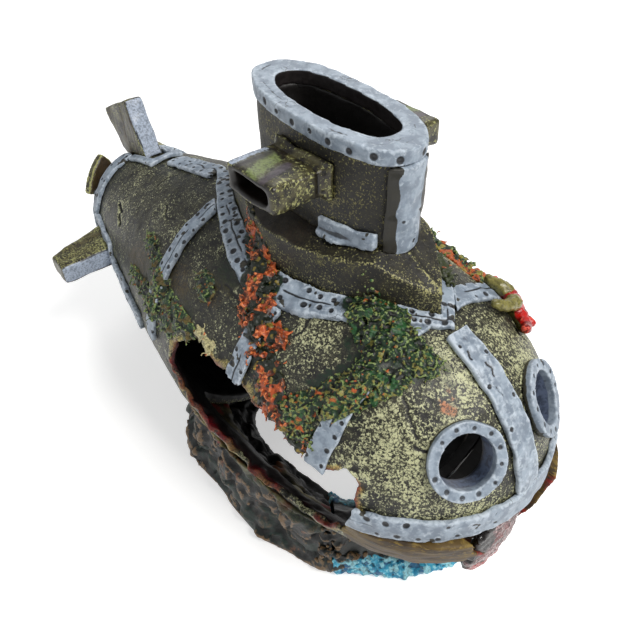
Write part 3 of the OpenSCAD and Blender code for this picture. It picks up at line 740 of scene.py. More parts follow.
def make_tower():
    clay = clay_of("tower_shell", "tower_wall", 0.34)
    x, y, z = clay.p.T
    clay.wobble(0.25, 6, 21)
    clay.push(0.09 * fractal(clay.p, 1.4, 22, 2) + 0.16 * fractal(clay.p, 5, 23))
    dent = np.array([(30.6, -8.2, 51.2), (31.2, -8.1, 49.8), (32.4, -7.8, 49.0), (34.0, -7.3, 49.2)])
    clay.score(dent, 0.55, 0.6)
    scratch = [(25.5, -8.9, 54.4), (28, -8.8, 53.6), (31, -8.4, 53.0), (34.5, -7.2, 52.6)]
    clay.score(scratch, 0.3, 0.3, paint=0.6)
    oval = tower_oval(x, y, 15.4, 6.2)
    # Painted shade: the tower's well near black.
    clay.tint(0.98 * ramp(1.06 - oval, -0.06, 0.03), TOWER_WELL_SHADE)
    # Painted shade: the tower's starboard side darker low down, by the deck.
    clay.tint(0.6 * ramp(46 - z, 0, 5) * ramp(-y, 2, 6), TOWER_SIDE_SHADE)
    return clay.finish(TOWER, "hull")


def oval_ring(length, width, z_at, count):
    """Points round the tower's oval, at heights z_at(x)."""
    a = np.linspace(0, 2 * np.pi, count, endpoint=False)
    c, s = np.cos(a), np.sin(a)
    x = TOWER_X + np.sign(c) * length / 2 * np.abs(c) ** (2 / TOWER_POWER)
    y = np.sign(s) * width / 2 * np.abs(s) ** (2 / TOWER_POWER)
    return np.stack([x, y, z_at(x)], 1)


def make_rim():
    clay = clay_of("tower_rim", "tower_rim_cast", 0.26)
    low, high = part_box("tower_rim")
    length, width = (high.x - low.x) / MM, (high.y - low.y) / MM
    tilt = math.tan(math.radians(3.4))
    top_z = (high.z - ORIGIN[2]) / MM - tilt * length / 2
    clay.wobble(0.2, 4, 31)
    side = oval_ring(length, width, lambda x: top_z - 1.7 - tilt * (x - TOWER_X), 90)
    clay.rivets(evenly(side, 4.6, 2), 0.55, 0.4)
    clay.grain(0.07, 1.6, 33)
    rng = np.random.default_rng(5)
    for _ in range(16):
        a = rng.uniform(0, 2 * np.pi)
        ring = oval_ring(length - rng.uniform(2, 6), width - rng.uniform(2, 5),
                         lambda x: top_z - tilt * (x - TOWER_X), 240)
        first = int(a / (2 * np.pi) * 240)
        piece = np.roll(ring, -first, 0)[:rng.integers(5, 14)]
        clay.score(piece, 0.14, 0.12, paint=rng.uniform(0.3, 0.8))
    clay.score([(37.4, -3.2, 64.6), (38.2, -2.2, 64.5), (37.6, -1.2, 64.6), (36.4, -0.2, 64.6)], 0.3, 0.35)
    clay.score([(-1.4, 2.4, 66.5), (-0.6, 3.4, 66.5), (0.4, 4.6, 66.5)], 0.16, 0.2)
    x, y, _ = clay.p.T
    oval = tower_oval(x, y, 15.3, 6.1)
    # Painted shade on the rim's inner wall, down into the tower.
    clay.tint(0.97 * ramp(1.16 - oval, 0, 0.1) * ramp(clay.normals()[:, 2], 0.75, 0.3), RIM_INSIDE_SHADE)
    return clay.finish(STRAP, "strap")


# ---------------------------------------------------------------- straps


def upright(points, lift=STRAP_T):
    """Lays plan points (x, y) on top of the hull's upper half."""
    points = np.asarray(points, float)
    r = hull_radius(points[:, 0]) + lift
    z = np.sqrt(np.maximum(r * r - points[:, 1] ** 2, 0.01))
    return np.column_stack([points, z])


def level(x, z, side, lift=STRAP_T):
    """Points on the hull's side at height z."""
    x = np.asarray(x, float)
    r = hull_radius(x) + lift
    return np.stack([x, side * np.sqrt(np.maximum(r * r - z * z, 0)), np.full(len(x), float(z))], 1)


def chips(clay, seed, amount=0.62):
    """Paint worn through to the dark ground in ragged spots."""
    spots = fractal(clay.p, 2.4, seed, 3)
    clay.tint(0.95 * ramp(spots, amount - 0.12, amount), BARE_GREY)
    clay.push(-0.12 * ramp(spots, amount - 0.12, amount))


def finish_strap(clay, seed, chip=0.52):
    clay.wobble(0.28, 2.6, seed)
    clay.grain(0.09, 1.8, seed + 1)
    chips(clay, seed + 2, chip)
    return clay.finish(STRAP, "strap")


def strap_clay(node):
    return clay_of(node, node + "_cast", STRAP_VOXEL)


def make_hoop(node, x, reach, seed):
    clay = strap_clay(node)
    for side in (-1, 1):
        step = math.degrees(3.4 / float(hull_radius(x)))
        angles = np.arange(20, reach, step)
        for offset in (-1.75, 1.75):
            clay.rivets([on_hull(x + offset, side * a, STRAP_T) for a in angles])
        line = [on_hull(x, side * a, STRAP_T) for a in np.linspace(12, reach, 40)]
        clay.score(line, 0.2, 0.26, broken=0.75, seed=seed)
    return finish_strap(clay, seed)


def deck_line(offset):
    """Half outline of the deck's foot, grown by offset, from tail to nose on starboard."""
    low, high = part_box("deck_casing")
    front = (high.x - ORIGIN[0]) / MM + 0.6 * offset
    rear = (low.x - ORIGIN[0]) / MM - offset
    middle, half = 14.0, (high.y - low.y) / 2 / MM + offset
    x = rear + (front - rear) * (1 - np.cos(np.linspace(0.02, 0.985, 120) * np.pi)) / 2
    share = np.where(x > middle, ((x - middle) / (front - middle)) ** 2.2,
                     (np.maximum(middle - x, 0) / (middle - rear)) ** 1.45)
    return np.stack([x, -half * (1 - share)], 1)


def make_deck_strap():
    clay = strap_clay("deck_strap")
    for side in (-1, 1):
        for offset in (1.7, 4.8):
            line = deck_line(offset) * np.array([1, -side])
            clay.rivets(evenly(upright(line * np.array([1, -1])), 3.1, 1.0), 0.56, 0.42, 0.3)
        line = deck_line(3.3) * np.array([1, side])
        clay.score(upright(line), 0.2, 0.25, broken=0.7, seed=61)
    x, angle = clay.p[:, 0], angle_of(clay.p)
    for chain in (MOSS_UPPER, MOSS_MIDDLE, CORAL_UPPER):
        clay.tint(0.8 * ramp(near_chain(x, angle, chain) + noise(clay.p, 3, 62), -3, 0), MOSS_STAIN)
    return finish_strap(clay, 60, 0.46)


def make_top_straps():
    clay = strap_clay("nose_strap")
    low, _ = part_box("nose_strap")
    first = (low.x - ORIGIN[0]) / MM
    x = first + (HALF_LEN - 1 - first) * np.sin(np.linspace(0, 1, 80) * np.pi / 2)
    for y in (-1.9, 1.9):
        points = evenly(upright(np.stack([x, np.full(80, y)], 1)), 9.0, 5.0 + y)
        clay.rivets(points, 0.4, 0.22)
    marks = [(60, 62.5, 0.4), (64.0, 67.2, -0.6), (68.6, 70.5, 1.2), (57.0, 58.4, -1.4), (66.0, 69.4, 2.2)]
    for x1, x2, y in marks:
        line = [upright([(a, y + 0.25 * math.sin(3 * a))])[0] for a in np.linspace(x1, x2, 8)]
        clay.score(line, 0.24, 0.3)
    # Painted highlight over the whole nose strap.
    clay.light += 1
    finish_strap(clay, 70, 0.66)
    clay = strap_clay("top_strap")
    low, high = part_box("top_strap")
    x = np.linspace((low.x - ORIGIN[0]) / MM, (high.x - ORIGIN[0]) / MM, 60)
    for y in (-1.8, 1.8):
        clay.rivets(evenly(upright(np.stack([x, np.full(60, y)], 1)), 4.0, 2.0), 0.5, 0.3)
    clay.score(upright(np.stack([x, 0.3 * np.sin(x)], 1)), 0.2, 0.28, broken=0.9, seed=73)
    return finish_strap(clay, 74, 0.50)


def make_waterline_straps():
    clay = strap_clay("waterline_strap_bow")
    x = 53 + (HALF_LEN - 53) * np.sin(np.linspace(0, 1, 90) * np.pi / 2)
    for side in (-1, 1):
        for z in (-0.1, 3.5):
            clay.rivets(evenly(level(x, z, side), 3.9, 1.5 + 0.4 * z), 0.6, 0.42)
        clay.score(level(x, 1.8, side), 0.2, 0.25, broken=0.9, seed=81)
    finish_strap(clay, 80, 0.55)
    clay = strap_clay("waterline_straps_stern")
    x = np.linspace(-52, -24, 60)
    for side in (-1, 1):
        for z in (-2.7, 0.7):
            clay.rivets(evenly(level(x, z, side), 3.8, 1.2), 0.55, 0.38)
    return finish_strap(clay, 84, 0.48)


def make_small_straps():
    clay = strap_clay("stern_ring")
    for offset in (1.5, 3.6):
        clay.rivets([on_hull(-HALF_LEN + offset, a, STRAP_T) for a in np.arange(0, 360, 15)], 0.5, 0.32)
    finish_strap(clay, 90, 0.42)
    for node, seed in (("top_fin_strap", 92), ("bottom_fin_strap", 93),
                       ("side_fin_strap_starboard", 94), ("side_fin_strap_port", 95)):
        clay = clay_of(node, node + "_cast", 0.26)
        finish_strap(clay, seed, 0.5)
    clay = clay_of("prow_band", "prow_band_cast", 0.26)
    low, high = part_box("prow_band")
    front = (high.x - ORIGIN[0]) / MM
    heights = np.arange((low.z - ORIGIN[2]) / MM + 2, (high.z - ORIGIN[2]) / MM - 2, 5.2)
    clay.rivets([(front - 0.6, side * 1.7, z) for z in heights for side in (-1, 1)], 0.45, 0.3)
    torn_side = np.abs(clay.p[:, 1]) + 0.5 * noise(clay.p, 2.6, 99)
    clay.tint(ramp(torn_side, 2.9, 3.2), SOOT_OLIVE)
    finish_strap(clay, 96, 0.66)
    clay = clay_of("tower_foot_strap", "tower_foot_strap_cast", 0.24)
    foot = ramp(clay.p[:, 2].min() + 1.9 - clay.p[:, 2], 0, 1.2) * ramp(33 - clay.p[:, 0], 0, 4)
    clay.p[:, 1] -= 0.9 * foot * (0.7 + 0.8 * noise(clay.p, 2.5, 97))
    clay.rivets([(27.0, -9.9, 45.6), (31.4, -9.2, 45.2), (35.3, -7.6, 44.6)], 0.6, 0.4)
    return finish_strap(clay, 98, 0.6)


def make_portholes():
    for name in ("starboard", "port"):
        clay = clay_of("porthole_ring_" + name, "porthole_" + name, 0.24)
        centre = clay.p.mean(0)
        spread = clay.p - centre
        _, axes = np.linalg.eigh(spread.T @ spread)
        axis = axes[:, 0] * np.sign(axes[0, 0])
        first = axes[:, 2]
        second = np.cross(axis, first)
        along = spread @ axis
        face = along.max()
        across = np.hypot(spread @ first, spread @ second)
        clay.wobble(0.22, 3.5, 101)
        turn = np.arange(12) * 2 * np.pi / 12 + 0.2
        radius = 6.75
        marks = [centre + axis * face + radius * (math.cos(a) * first + math.sin(a) * second) for a in turn]
        clay.rivets(marks, 0.5, 0.24, 0.25, 0.62)
        clay.grain(0.08, 1.5, 103)
        bore = ramp(6.4 - across, 0, 0.5) * ramp(face - 1.0 - along, 0, 1)
        clay.tint(0.75 * bore, TUBE_BLUE)
        # Painted shade deep in the bore.
        clay.tint(ramp(face - 4.6 - along, 0, 1.2), INSIDE_SHADE)
        clay.tint(0.8 * ramp(across, 7.4, 7.9) * ramp(face - 0.8 - along, 0, 0.4), RING_SHADE)
        chips(clay, 104, 0.62)
        clay.finish(STRAP, "strap")


# ---------------------------------------------------------------- planes, fins and tail

# Streaks of paint along a sail plane's top: share, place, lean, width, paint.
PLANE_STREAKS = [(0.85, -1.2, 0.3, 1.9, LEAF_GREEN), (0.8, 2.4, 0.2, 1.2, PLUM_GREY),
                 (0.9, -5.6, 0.0, 0.8, BLUE_GREY), (0.8, -3.6, 0.0, 0.9, DARK_GREY)]


def make_planes():
    for name, side in (("starboard", -1), ("port", 1)):
        clay = clay_of("sail_plane_" + name, "plane_" + name, 0.32, 30)
        x, y, z = clay.p[:, 0], clay.p[:, 1] * side, clay.p[:, 2]
        normal = clay.normals()
        clay.wobble(0.25, 4, 111)
        clay.grain(0.12, 2.0, 112)
        clay.score([(PLANE_X - 5.6, side * 11.2, 57.6), (PLANE_X + 5.6, side * 11.2, 57.6),
                    (PLANE_X + 7.2, side * 11.2, 56), (PLANE_X + 7.2, side * 11.2, 53)], 0.35, 0.3, paint=0.7)
        up = ramp(normal[:, 2], 0.5, 0.9) * ramp(z, 55.6, 56.2)
        top = up * ramp(y, 12, 14)
        for share, place, lean, width, paint in PLANE_STREAKS:
            clay.tint(share * top * bell(x - PLANE_X - place - lean * (y - 16), width), paint)
        # Painted shade in the hollow at the plane's tip.
        hollow = ramp(6.2 - np.abs(x - PLANE_X), 0, 0.5) * ramp(2.5 - np.abs(z - PLANE_Z), 0, 0.3)
        clay.tint(0.97 * hollow * ramp(y, 11.8, 12.6), PLANE_HOLLOW_SHADE)
        clay.tint(0.8 * ramp(y, 10.6, 11.2) * ramp(12.4 - y, 0, 0.5) * (1 - up), ROOT_OLIVE)
        clay.rivets([(PLANE_X + 7.6, side * 10.4, 52.6), (PLANE_X + 7.6, side * 10.4, 56.8),
                     (PLANE_X + 2, side * 10.4, 58.8)], 0.5, 0.3)
        clay.finish(PLANE, "fin", 8, 0.34)


def make_fins():
    for node, turn, seed in (("top_fin", 0, 121), ("side_fin_starboard", 90, 123),
                             ("side_fin_port", -90, 125), ("bottom_fin", 180, 127)):
        clay = clay_of(node, node + "_cast", 0.32, 26)
        a = math.radians(turn)
        reach = -clay.p[:, 1] * math.sin(a) + clay.p[:, 2] * math.cos(a)
        across = clay.p[:, 1] * math.cos(a) + clay.p[:, 2] * math.sin(a)
        normal = clay.normals()
        ahead = ramp(normal[:, 0], 0.45, 0.7)
        clay.wobble(0.25, 4, seed)
        ribs = np.stack([clay.p[:, 0] * 1.4, across, reach * 0.2], 1)
        clay.push(0.16 * fractal(ribs, 2.2, seed + 1, 2) + 0.06 * noise(clay.p, 1.2, seed + 2))
        clay.tint(0.95 * ahead, BLUE_GREY)
        clay.tint((1 - ahead) * 0.5 * (0.5 + fractal(ribs, 2.6, seed + 3)), RIB_BROWN)
        edge_line = bell(np.abs(across) - 2.6, 0.35) * ahead
        clay.dent = np.maximum(clay.dent, 0.8 * edge_line * ramp(noise(clay.p, 3, seed + 4), -0.3, 0.1))
        tip = reach.max()
        if abs(turn) == 90:
            hole = np.array([-55.4, -(tip - 2.6) * math.sin(a), (tip - 2.6) * math.cos(a)])
            clay.rivets([hole], 0.95, 0.9)
            # Painted highlight on the upward faces of the side fins.
            top = ramp(normal[:, 2], 0.6, 0.9)
            clay.light += top
        clay.finish(PLANE, "fin", 8, 0.26)


def make_tail():
    clay = clay_of("stern_cap", "stern_cap_cast", 0.36, 4)
    clay.wobble(0.2, 4, 131)
    clay.grain(0.14, 2.2, 132)
    clay.finish(HULL, "hull")
    clay = clay_of("propeller", "propeller_cast", 0.34, 6)
    clay.wobble(0.35, 5, 134)
    clay.grain(0.2, 2.4, 135)
    clay.tint(0.6 * ramp(clay.normals()[:, 0], 0.2, 0.8), EARTH_BROWN)
    clay.tint(0.5 * ramp(fractal(clay.p, 4, 136), 0.0, 0.4), BLUE_GREY)
    clay.finish(PLANE, "propeller")


# ---------------------------------------------------------------- base


SEAM = (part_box("rock_base")[1].x - ORIGIN[0]) / MM


def make_rock():
    clay = clay_of("rock_base", "rock_base_cast", 0.62)
    normal = clay.normals()
    free = ramp(clay.p[:, 2] - FLOOR, 0.6, 3.0) * ramp(SEAM - clay.p[:, 0], 0.3, 1.8)
    bowl = ramp(-depth_of(clay.p), 3.0, 0.4)
    first, second, own = cells(clay.p + 1.2 * drift(clay.p, 5, 0), 8.5, 3)
    face = (own - 0.5) * 3.4 + 1.2 * ramp(second - first, 0.0, 0.25)
    first, second, own = cells(clay.p + 0.8 * drift(clay.p, 3, 4), 3.6, 5)
    small = (own - 0.5) * 0.8 + 0.3 * ramp(second - first, 0.0, 0.3)
    side = ramp(1 - np.abs(normal[:, 2]), 0.1, 0.5) * free * (1 - bowl)
    clay.push(side * (clay.blur(face, 3) * 0.85 - 1.3))
    clay.push(free * (1 - 0.6 * bowl) * (clay.blur(small, 1) - 0.3))
    creases = ramp(np.abs(noise(clay.p, 4.5, 149)), 0.16, 0.0)
    clay.push(free * (0.45 * fractal(clay.p, 4.5, 142) + 0.2 * fractal(clay.p, 1.6, 143, 2) - 0.9 * creases) *
              (1 - 0.7 * bowl))
    clay.p[:, 2] = np.maximum(clay.p[:, 2], FLOOR)
    # Painted shade: the rock's upward faces inside the hull's footprint near black.
    inner = ramp(np.hypot((clay.p[:, 0] - 17) / 44, clay.p[:, 1] / 30), 1.0, 0.86)
    inner = inner * ramp(normal[:, 2], 0.1, 0.5)
    clay.tint(0.98 * inner, BOWL_SHADE)
    # Painted shade on the rock where it lies under the hull's surface.
    clay.tint(ramp(depth_of(clay.p), -0.3, 0.6), INSIDE_SHADE)
    crest = bell(depth_of(clay.p) + 1.0, 1.3) * free
    clay.tint(0.9 * crest * (0.55 + 0.8 * noise(clay.p, 4, 144)), SAND)
    clay.patches(0.9 * crest, 3.4, 145, 0.1, 0.5, CRIMSON)
    warm = ramp(fractal(clay.p, 6, 146), 0.12, 0.5) * (1 - inner)
    clay.patches(0.6 * warm, 1.1, 147, 0.05, 0.5, CLAY_BROWN)
    clay.tint(0.5 * ramp(noise(clay.p, 7, 148), 0.0, 0.4) * (1 - inner), SEA_GREEN)
    clay.tint(0.35 * ramp(-clay.p[:, 0], 10, 35), MUD_OLIVE)
    return clay.finish(ROCK, "rock", 12, 0.34)


UNIT_BALL = None


def ball(centre, radii, rng, lumps=0.25):
    """A small uneven pebble."""
    global UNIT_BALL
    if UNIT_BALL is None:
        bm = bmesh.new()
        bmesh.ops.create_icosphere(bm, subdivisions=1, radius=1)
        UNIT_BALL = (np.array([v.co for v in bm.verts]), [tuple(v.index for v in f.verts) for f in bm.faces])
        bm.free()
    points, faces = UNIT_BALL
    turn = np.array(Matrix.Rotation(rng.uniform(0, 6.3), 3, Vector(rng.normal(size=3)).normalized()))
    rough = points * (1 + lumps * rng.uniform(-1, 1, size=(len(points), 1)))
    return (rough * radii) @ turn.T + centre, faces


def worm(start, direction, up, length, radius, rng, steps=5, sides=5):
    """A short curling strand."""
    direction = direction / np.linalg.norm(direction)
    rings, at = [], np.array(start, float)
    for i in range(steps + 1):
        size = radius * (1.0 if 0 < i < steps else 0.45)
        u = np.cross(direction, up)
        u /= max(np.linalg.norm(u), 1e-6)
        v = np.cross(direction, u)
        a = np.arange(sides) * 2 * np.pi / sides
        rings.append(at + size * (np.cos(a)[:, None] * u + np.sin(a)[:, None] * v))
        at = at + direction * length / steps
        direction = direction + 0.55 * rng.normal(size=3) - 0.10 * up
        direction /= np.linalg.norm(direction)
    faces = []
    for i in range(steps):
        for k in range(sides):
            m = (k + 1) % sides
            faces.append((i * sides + k, i * sides + m, (i + 1) * sides + m, (i + 1) * sides + k))
    faces.append(tuple(range(sides)))
    faces.append(tuple(steps * sides + k for k in range(sides))[::-1])
    return np.concatenate(rings), faces


def make_gravel():
    base = clay_of("gravel_bed", "gravel_bed_cast", 0.5)
    normal = base.normals()
    rng = np.random.default_rng(151)
    shore = 6.5 + 1.2 * noise(base.p, 6, 152)
    rise = base.p[:, 2] - FLOOR
    open_face = (normal[:, 2] > -0.3) & (rise > 0.6) & (rise < shore) & (depth_of(base.p) < -0.5)
    spots = base.p[open_face]
    grains = []
    for i in rng.choice(len(spots), size=min(1500, len(spots)), replace=False):
        size = rng.uniform(0.45, 1.0)
        centre = spots[i] + rng.normal(size=3) * 0.25
        centre[2] = max(centre[2], FLOOR + size)
        grains.append(ball(centre, size * rng.uniform(0.7, 1.15, size=3), rng))
    grains.append((base.p, [tuple(f.vertices) for f in base.obj.data.polygons]))
    clay = clay_from("gravel_grains", grains, 0.3)
    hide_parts("gravel_bed")
    bpy.data.objects.remove(base.obj)
    clay.p[:, 2] = np.maximum(clay.p[:, 2], FLOOR)
    _, _, own = cells(clay.p, 2.0, 9)
    rise = clay.p[:, 2] - FLOOR
    stone = ramp(rise - 6.5 - 1.2 * noise(clay.p, 6, 152) + 0.8 * noise(clay.p, 1.5, 153), -0.4, 0.5)
    clay.tint(0.75 * ramp(own, 0.62, 0.66), ICE_BLUE)
    clay.tint(0.6 * ramp(own, 0.20, 0.16), DEEP_BLUE)
    clay.push(0.5 * stone * (fractal(clay.p, 4.0, 154) - 0.5))
    clay.tint(stone, WET_STONE)
    clay.tint(0.6 * stone * ramp(fractal(clay.p, 3.5, 155), 0.15, 0.4), DRY_STONE)
    # Painted shade on the gravel under the hull's surface.
    clay.tint(ramp(depth_of(clay.p), -2.2, -1.2), INSIDE_SHADE)
    return clay.finish(GRAVEL, "gravel", 6, 0.14)


# ---------------------------------------------------------------- growth


def cad_surface():
    """The frame's outer surface, to lay growth on, in hull millimetres."""
    points, faces, base = [], [], 0
    for node in ("hull_shell", "deck_casing", "deck_strap", "hoop_fore", "hoop_mid", "hoop_aft",
                 "top_strap", "nose_strap", "rock_base", "gravel_bed", "belly_plate"):
        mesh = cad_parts[node].data
        flat = np.empty(len(mesh.vertices) * 3)
        mesh.vertices.foreach_get("co", flat)
        points.append((flat.reshape(-1, 3) - ORIGIN) / MM)
        faces += [tuple(i + base for i in f.vertices) for f in mesh.polygons]
        base += len(mesh.vertices)
    return BVHTree.FromPolygons([Vector(p) for p in np.concatenate(points)], faces)


SURFACE = cad_surface()


def cast(x, angle):
    """The outermost point of the frame at a station and angle, and the way out of the hull."""
    out = np.array([0, -math.sin(math.radians(angle)), math.cos(math.radians(angle))])
    start = Vector((x, *(out[1:] * 70)))
    hit = SURFACE.ray_cast(start, Vector(-out))[0]
    return (np.array(hit) if hit is not None else None), out


def grow(name, chains, count, strand_share, height, seed, voxel=0.26, spread=1.25):
    """Crumbs and strands heaped over chains of patches, melted into one crusty piece."""
    rng = np.random.default_rng(seed)
    parts = []
    tries = 0
    while len(parts) < count and tries < 30 * count:
        tries += 1
        chain = np.asarray(chains[rng.integers(len(chains))], float)
        k = rng.integers(len(chain) - 1)
        share = rng.random()
        cx, ca, cr = chain[k] + share * (chain[k + 1] - chain[k])
        r = cr * spread * math.sqrt(rng.random())
        t = rng.uniform(0, 2 * np.pi)
        x = cx + r * math.cos(t)
        angle = ca + math.degrees(r * math.sin(t) / float(hull_radius(cx)))
        hit, out = cast(x, angle)
        if hit is None or np.hypot(hit[1], hit[2]) < float(hull_radius(x)) - 1.0:
            continue
        edge = max(0.15, 1 - (r / (cr * spread)) ** 2)
        rise = height * edge * rng.uniform(0.2, 1.0)
        if noise(hit[None] * 1.0, 1.7, seed)[0] < -0.25:
            rise *= 0.25
        if rng.random() < strand_share:
            way = rng.normal(size=3)
            way -= out * (way @ out) * 0.6
            length, thickness = rng.uniform(1.2, 2.6), rng.uniform(0.18, 0.28)
            parts.append(worm(hit + out * rise, way, out, length, thickness, rng))
        else:
            size = rng.uniform(0.3, 0.62)
            parts.append(ball(hit + out * (rise - 0.3 * size), size * np.array([1, 1, 0.9]), rng, 0.35))
    clay = clay_from(name, parts, voxel)
    return clay


def make_growth():
    coral = grow("coral_upper_starboard", [CORAL_UPPER], 1500, 0.4, 1.5, 201, 0.24)
    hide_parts("coral_band")
    spots = noise(coral.p, 2.6, 203)
    coral.tint(0.97 * ramp(spots, 0.05, 0.25), LEAF_BLACK)
    coral.patches(0.8, 1.1, 205, 0.45, 0.6, MUSTARD)
    coral.finish(CORAL, "coral", 5, 0.12)
    coral = grow("coral_lower_starboard", [CORAL_LOWER], 1200, 0.4, 1.3, 211, 0.24)
    coral.patches(0.95, 1.4, 213, -0.05, 0.15, LEAF_SHADE)
    coral.patches(0.8, 1.0, 215, 0.4, 0.6, LIGHT_MUSTARD)
    coral.finish(CORAL, "coral", 5, 0.12)
    moss = grow("moss_bow_starboard", [MOSS_UPPER, MOSS_MIDDLE, MOSS_LOWER], 4200, 0.5, 1.7, 221, 0.25)
    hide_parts("moss_bow")
    moss.patches(0.7, 2.2, 223, 0.35, 0.6, LIGHT_MOSS)
    low = ramp(angle_of(moss.p), 26, 44)
    moss.tint(0.8 * ramp(noise(moss.p, 0.6, 225) + 0.15 * low, 0.40, 0.62), MOSS_TIP)
    moss.tint(0.8 * ramp(noise(moss.p, 0.7, 227) + 0.26 * low, 0.72, 0.9), RUST)
    moss.finish(MOSS, "moss", 5, 0.12)
    moss = grow("moss_ridge_port", [MOSS_PORT], 1500, 0.3, 2.6, 231, 0.3)
    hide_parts("moss_port")
    moss.patches(0.9, 2.0, 233, 0.05, 0.3, RUST)
    moss.patches(0.8, 1.4, 235, 0.3, 0.5, RIDGE_YELLOW)
    moss.finish(MOSS, "moss", 5, 0.12)
    small = [
        ("deck_tuft_growth", [[(38.5, 15, 1.6), (42.5, 14.5, 1.8), (44.5, 12, 1.4)]], 620, 1.3, 241, MOSS,
         None, "moss"),
        ("barnacle_cluster", [[(1.6, 43.4, 1.3), (3.5, 44.7, 1.9), (5.6, 47.5, 1.3)]], 360, 1.9, 251, MOSS,
         None, "moss"),
        ("torn_edge_crust", [[(7.5, 60, 0.9), (10.5, 61.5, 1.7), (13.5, 62.5, 1.3)]], 130, 1.5, 261, CORAL,
         BONE, "coral"),
        ("tail_side_growth", [[(-28, 47, 1.3), (-22, 51, 1.6), (-16, 56, 2.2), (-9, 61, 2.8), (-1, 63, 2.8),
                               (6, 64, 2.0)],
                              [(-31, 70, 1.4), (-22, 70, 2.2), (-12, 69, 2.4), (-3, 70, 2.0)]],
         2200, 1.0, 271, MOSS, None, "moss"),
        ("stern_rust_growth", [[(-20, -24, 1.2), (-14, -30, 1.8), (-8, -33, 2.0), (0, -36, 1.6)]],
         420, 1.6, 281, CORAL, BARK_RED, "coral"),
        ("deck_port_growth", [[(8, -24, 1.2), (18, -27, 1.5), (28, -26, 1.7), (38, -20, 1.5),
                               (44, -14, 1.2)]],
         520, 1.3, 291, CORAL, WEED_GREEN, "coral"),
    ]
    for name, chains, count, height, seed, material, paint, slot in small:
        clay = grow(name, chains, count, 0.3, height, seed)
        if paint:
            clay.patches(0.95, 1.8, seed + 2, -0.75, -0.2, paint)
        else:
            clay.patches(0.9, 1.3, seed + 3, 0.25, 0.5, WEED_BROWN)
            clay.patches(0.8, 0.7, seed + 4, 0.5, 0.75, BURNT_ORANGE)
        clay.finish(material, slot, 5, 0.12)


def make_rubble():
    """Rocks heaped over the seam between the rock foot and the gravel."""
    rng = np.random.default_rng(341)
    parts = []
    for _ in range(420):
        x = SEAM + rng.normal() * 1.6
        angle = rng.uniform(112, 152) * rng.choice([-1, 1])
        hit, out = cast(x, angle)
        if hit is None or hit[2] > -20 or hit[2] < FLOOR + 0.8:
            continue
        size = rng.uniform(0.5, 1.7)
        centre = hit - 0.55 * size * out
        centre[2] = max(centre[2], FLOOR + 0.7 * size)
        parts.append(ball(centre, size * rng.uniform(0.7, 1.1, size=3), rng, 0.4))
    clay = clay_from("seam_rubble", parts, 0.4, 1)
    clay.p[:, 2] = np.maximum(clay.p[:, 2], FLOOR)
    clay.grain(0.25, 1.6, 343)
    clay.finish(ROCK, "rock", 8, 0.26)


STAR_ARMS = [(178, 8.0, 0), (112, 6.5, 1), (52, 10.5, 1), (2, 9.0, 0), (-75, 7.0, 0)]


def make_starfish():
    """Five curling arms from (heading off the nose towards starboard, length, 1 if it is olive)."""
    centre_x, centre_angle = 50.0, -43.0
    rng = np.random.default_rng(301)
    parts, olive = [], []
    for heading, length, is_olive in STAR_ARMS:
        for share in np.linspace(0, 1, 18):
            bend = math.radians(heading + 26 * share ** 2)
            run = length * share
            x = centre_x + run * math.cos(bend)
            angle = centre_angle + math.degrees(run * math.sin(bend) / float(hull_radius(x)))
            curl = 1.6 * math.sin(math.pi * share) * is_olive + 1.2 * share ** 4
            size = 2.7 - 1.4 * share
            place = on_hull(x, angle, 1.5 + curl - 0.3 * share)
            parts.append(ball(place, np.array([size, size, size * 0.85]), rng, 0.12))
            if is_olive and share > 0.5:
                olive.append(place)
    clay = clay_from("starfish_cast", parts, 0.3, 3)
    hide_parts("starfish")
    clay.grain(0.2, 1.1, 303)
    rise = -depth_of(clay.p)
    clay.tint(0.95 * ramp(1.3 - rise + 0.5 * noise(clay.p, 2, 305), -0.3, 0.5), STAR_OLIVE)
    near = np.min([np.linalg.norm(clay.p - point, axis=1) for point in olive], axis=0)
    clay.tint(ramp(2.4 + 0.6 * noise(clay.p, 2, 307) - near, -0.2, 0.5), STAR_YELLOW)
    clay.finish(STAR, "starfish", 6, 0.14)


def make_notch_lining():
    """The torn, curled plate under the nose, whose pink crystalline inside shows through the notch."""
    rng = np.random.default_rng(311)
    parts = []
    for _ in range(900):
        y = rng.uniform(-12, 10)
        z = rng.uniform(-22, -1)
        if ((y + 1) / 11.0) ** 2 + ((z + 11) / 11.0) ** 2 > 1:
            continue
        x = 74.6 - 0.011 * (z + 9) ** 2 - 0.022 * (y + 4) ** 2
        size = rng.uniform(0.9, 1.5)
        parts.append(ball(np.array([x, y, z]), np.array([size] * 3), rng, 0.3))
    clay = clay_from("notch_lining", parts, 0.34, 5)
    clay.grain(0.22, 1.3, 313)
    clay.tint(0.9 * ramp(-clay.p[:, 2] + 2.5 * noise(clay.p, 3, 315), 14, 18), LINING_RED)
    # Painted shade: the starboard, upper side of the lining near black, as the dark of the notch.
    far = -clay.p[:, 1] + 0.5 * clay.p[:, 2] + 3 * noise(clay.p, 3, 317)
    clay.tint(0.95 * ramp(far, 3, 6), LINING_SHADE)
    clay.finish(LINING, "coral", 8, 0.2)


# ---------------------------------------------------------------- stage


def any_ray(g, kinds):
    """1 for a ray of one of these kinds, 0 for the others."""
    path = g.add("ShaderNodeLightPath")
    seen = path.outputs[kinds[0]]
    for kind in kinds[1:]:
        seen = g.math("MAXIMUM", seen, path.outputs[kind])
    return seen


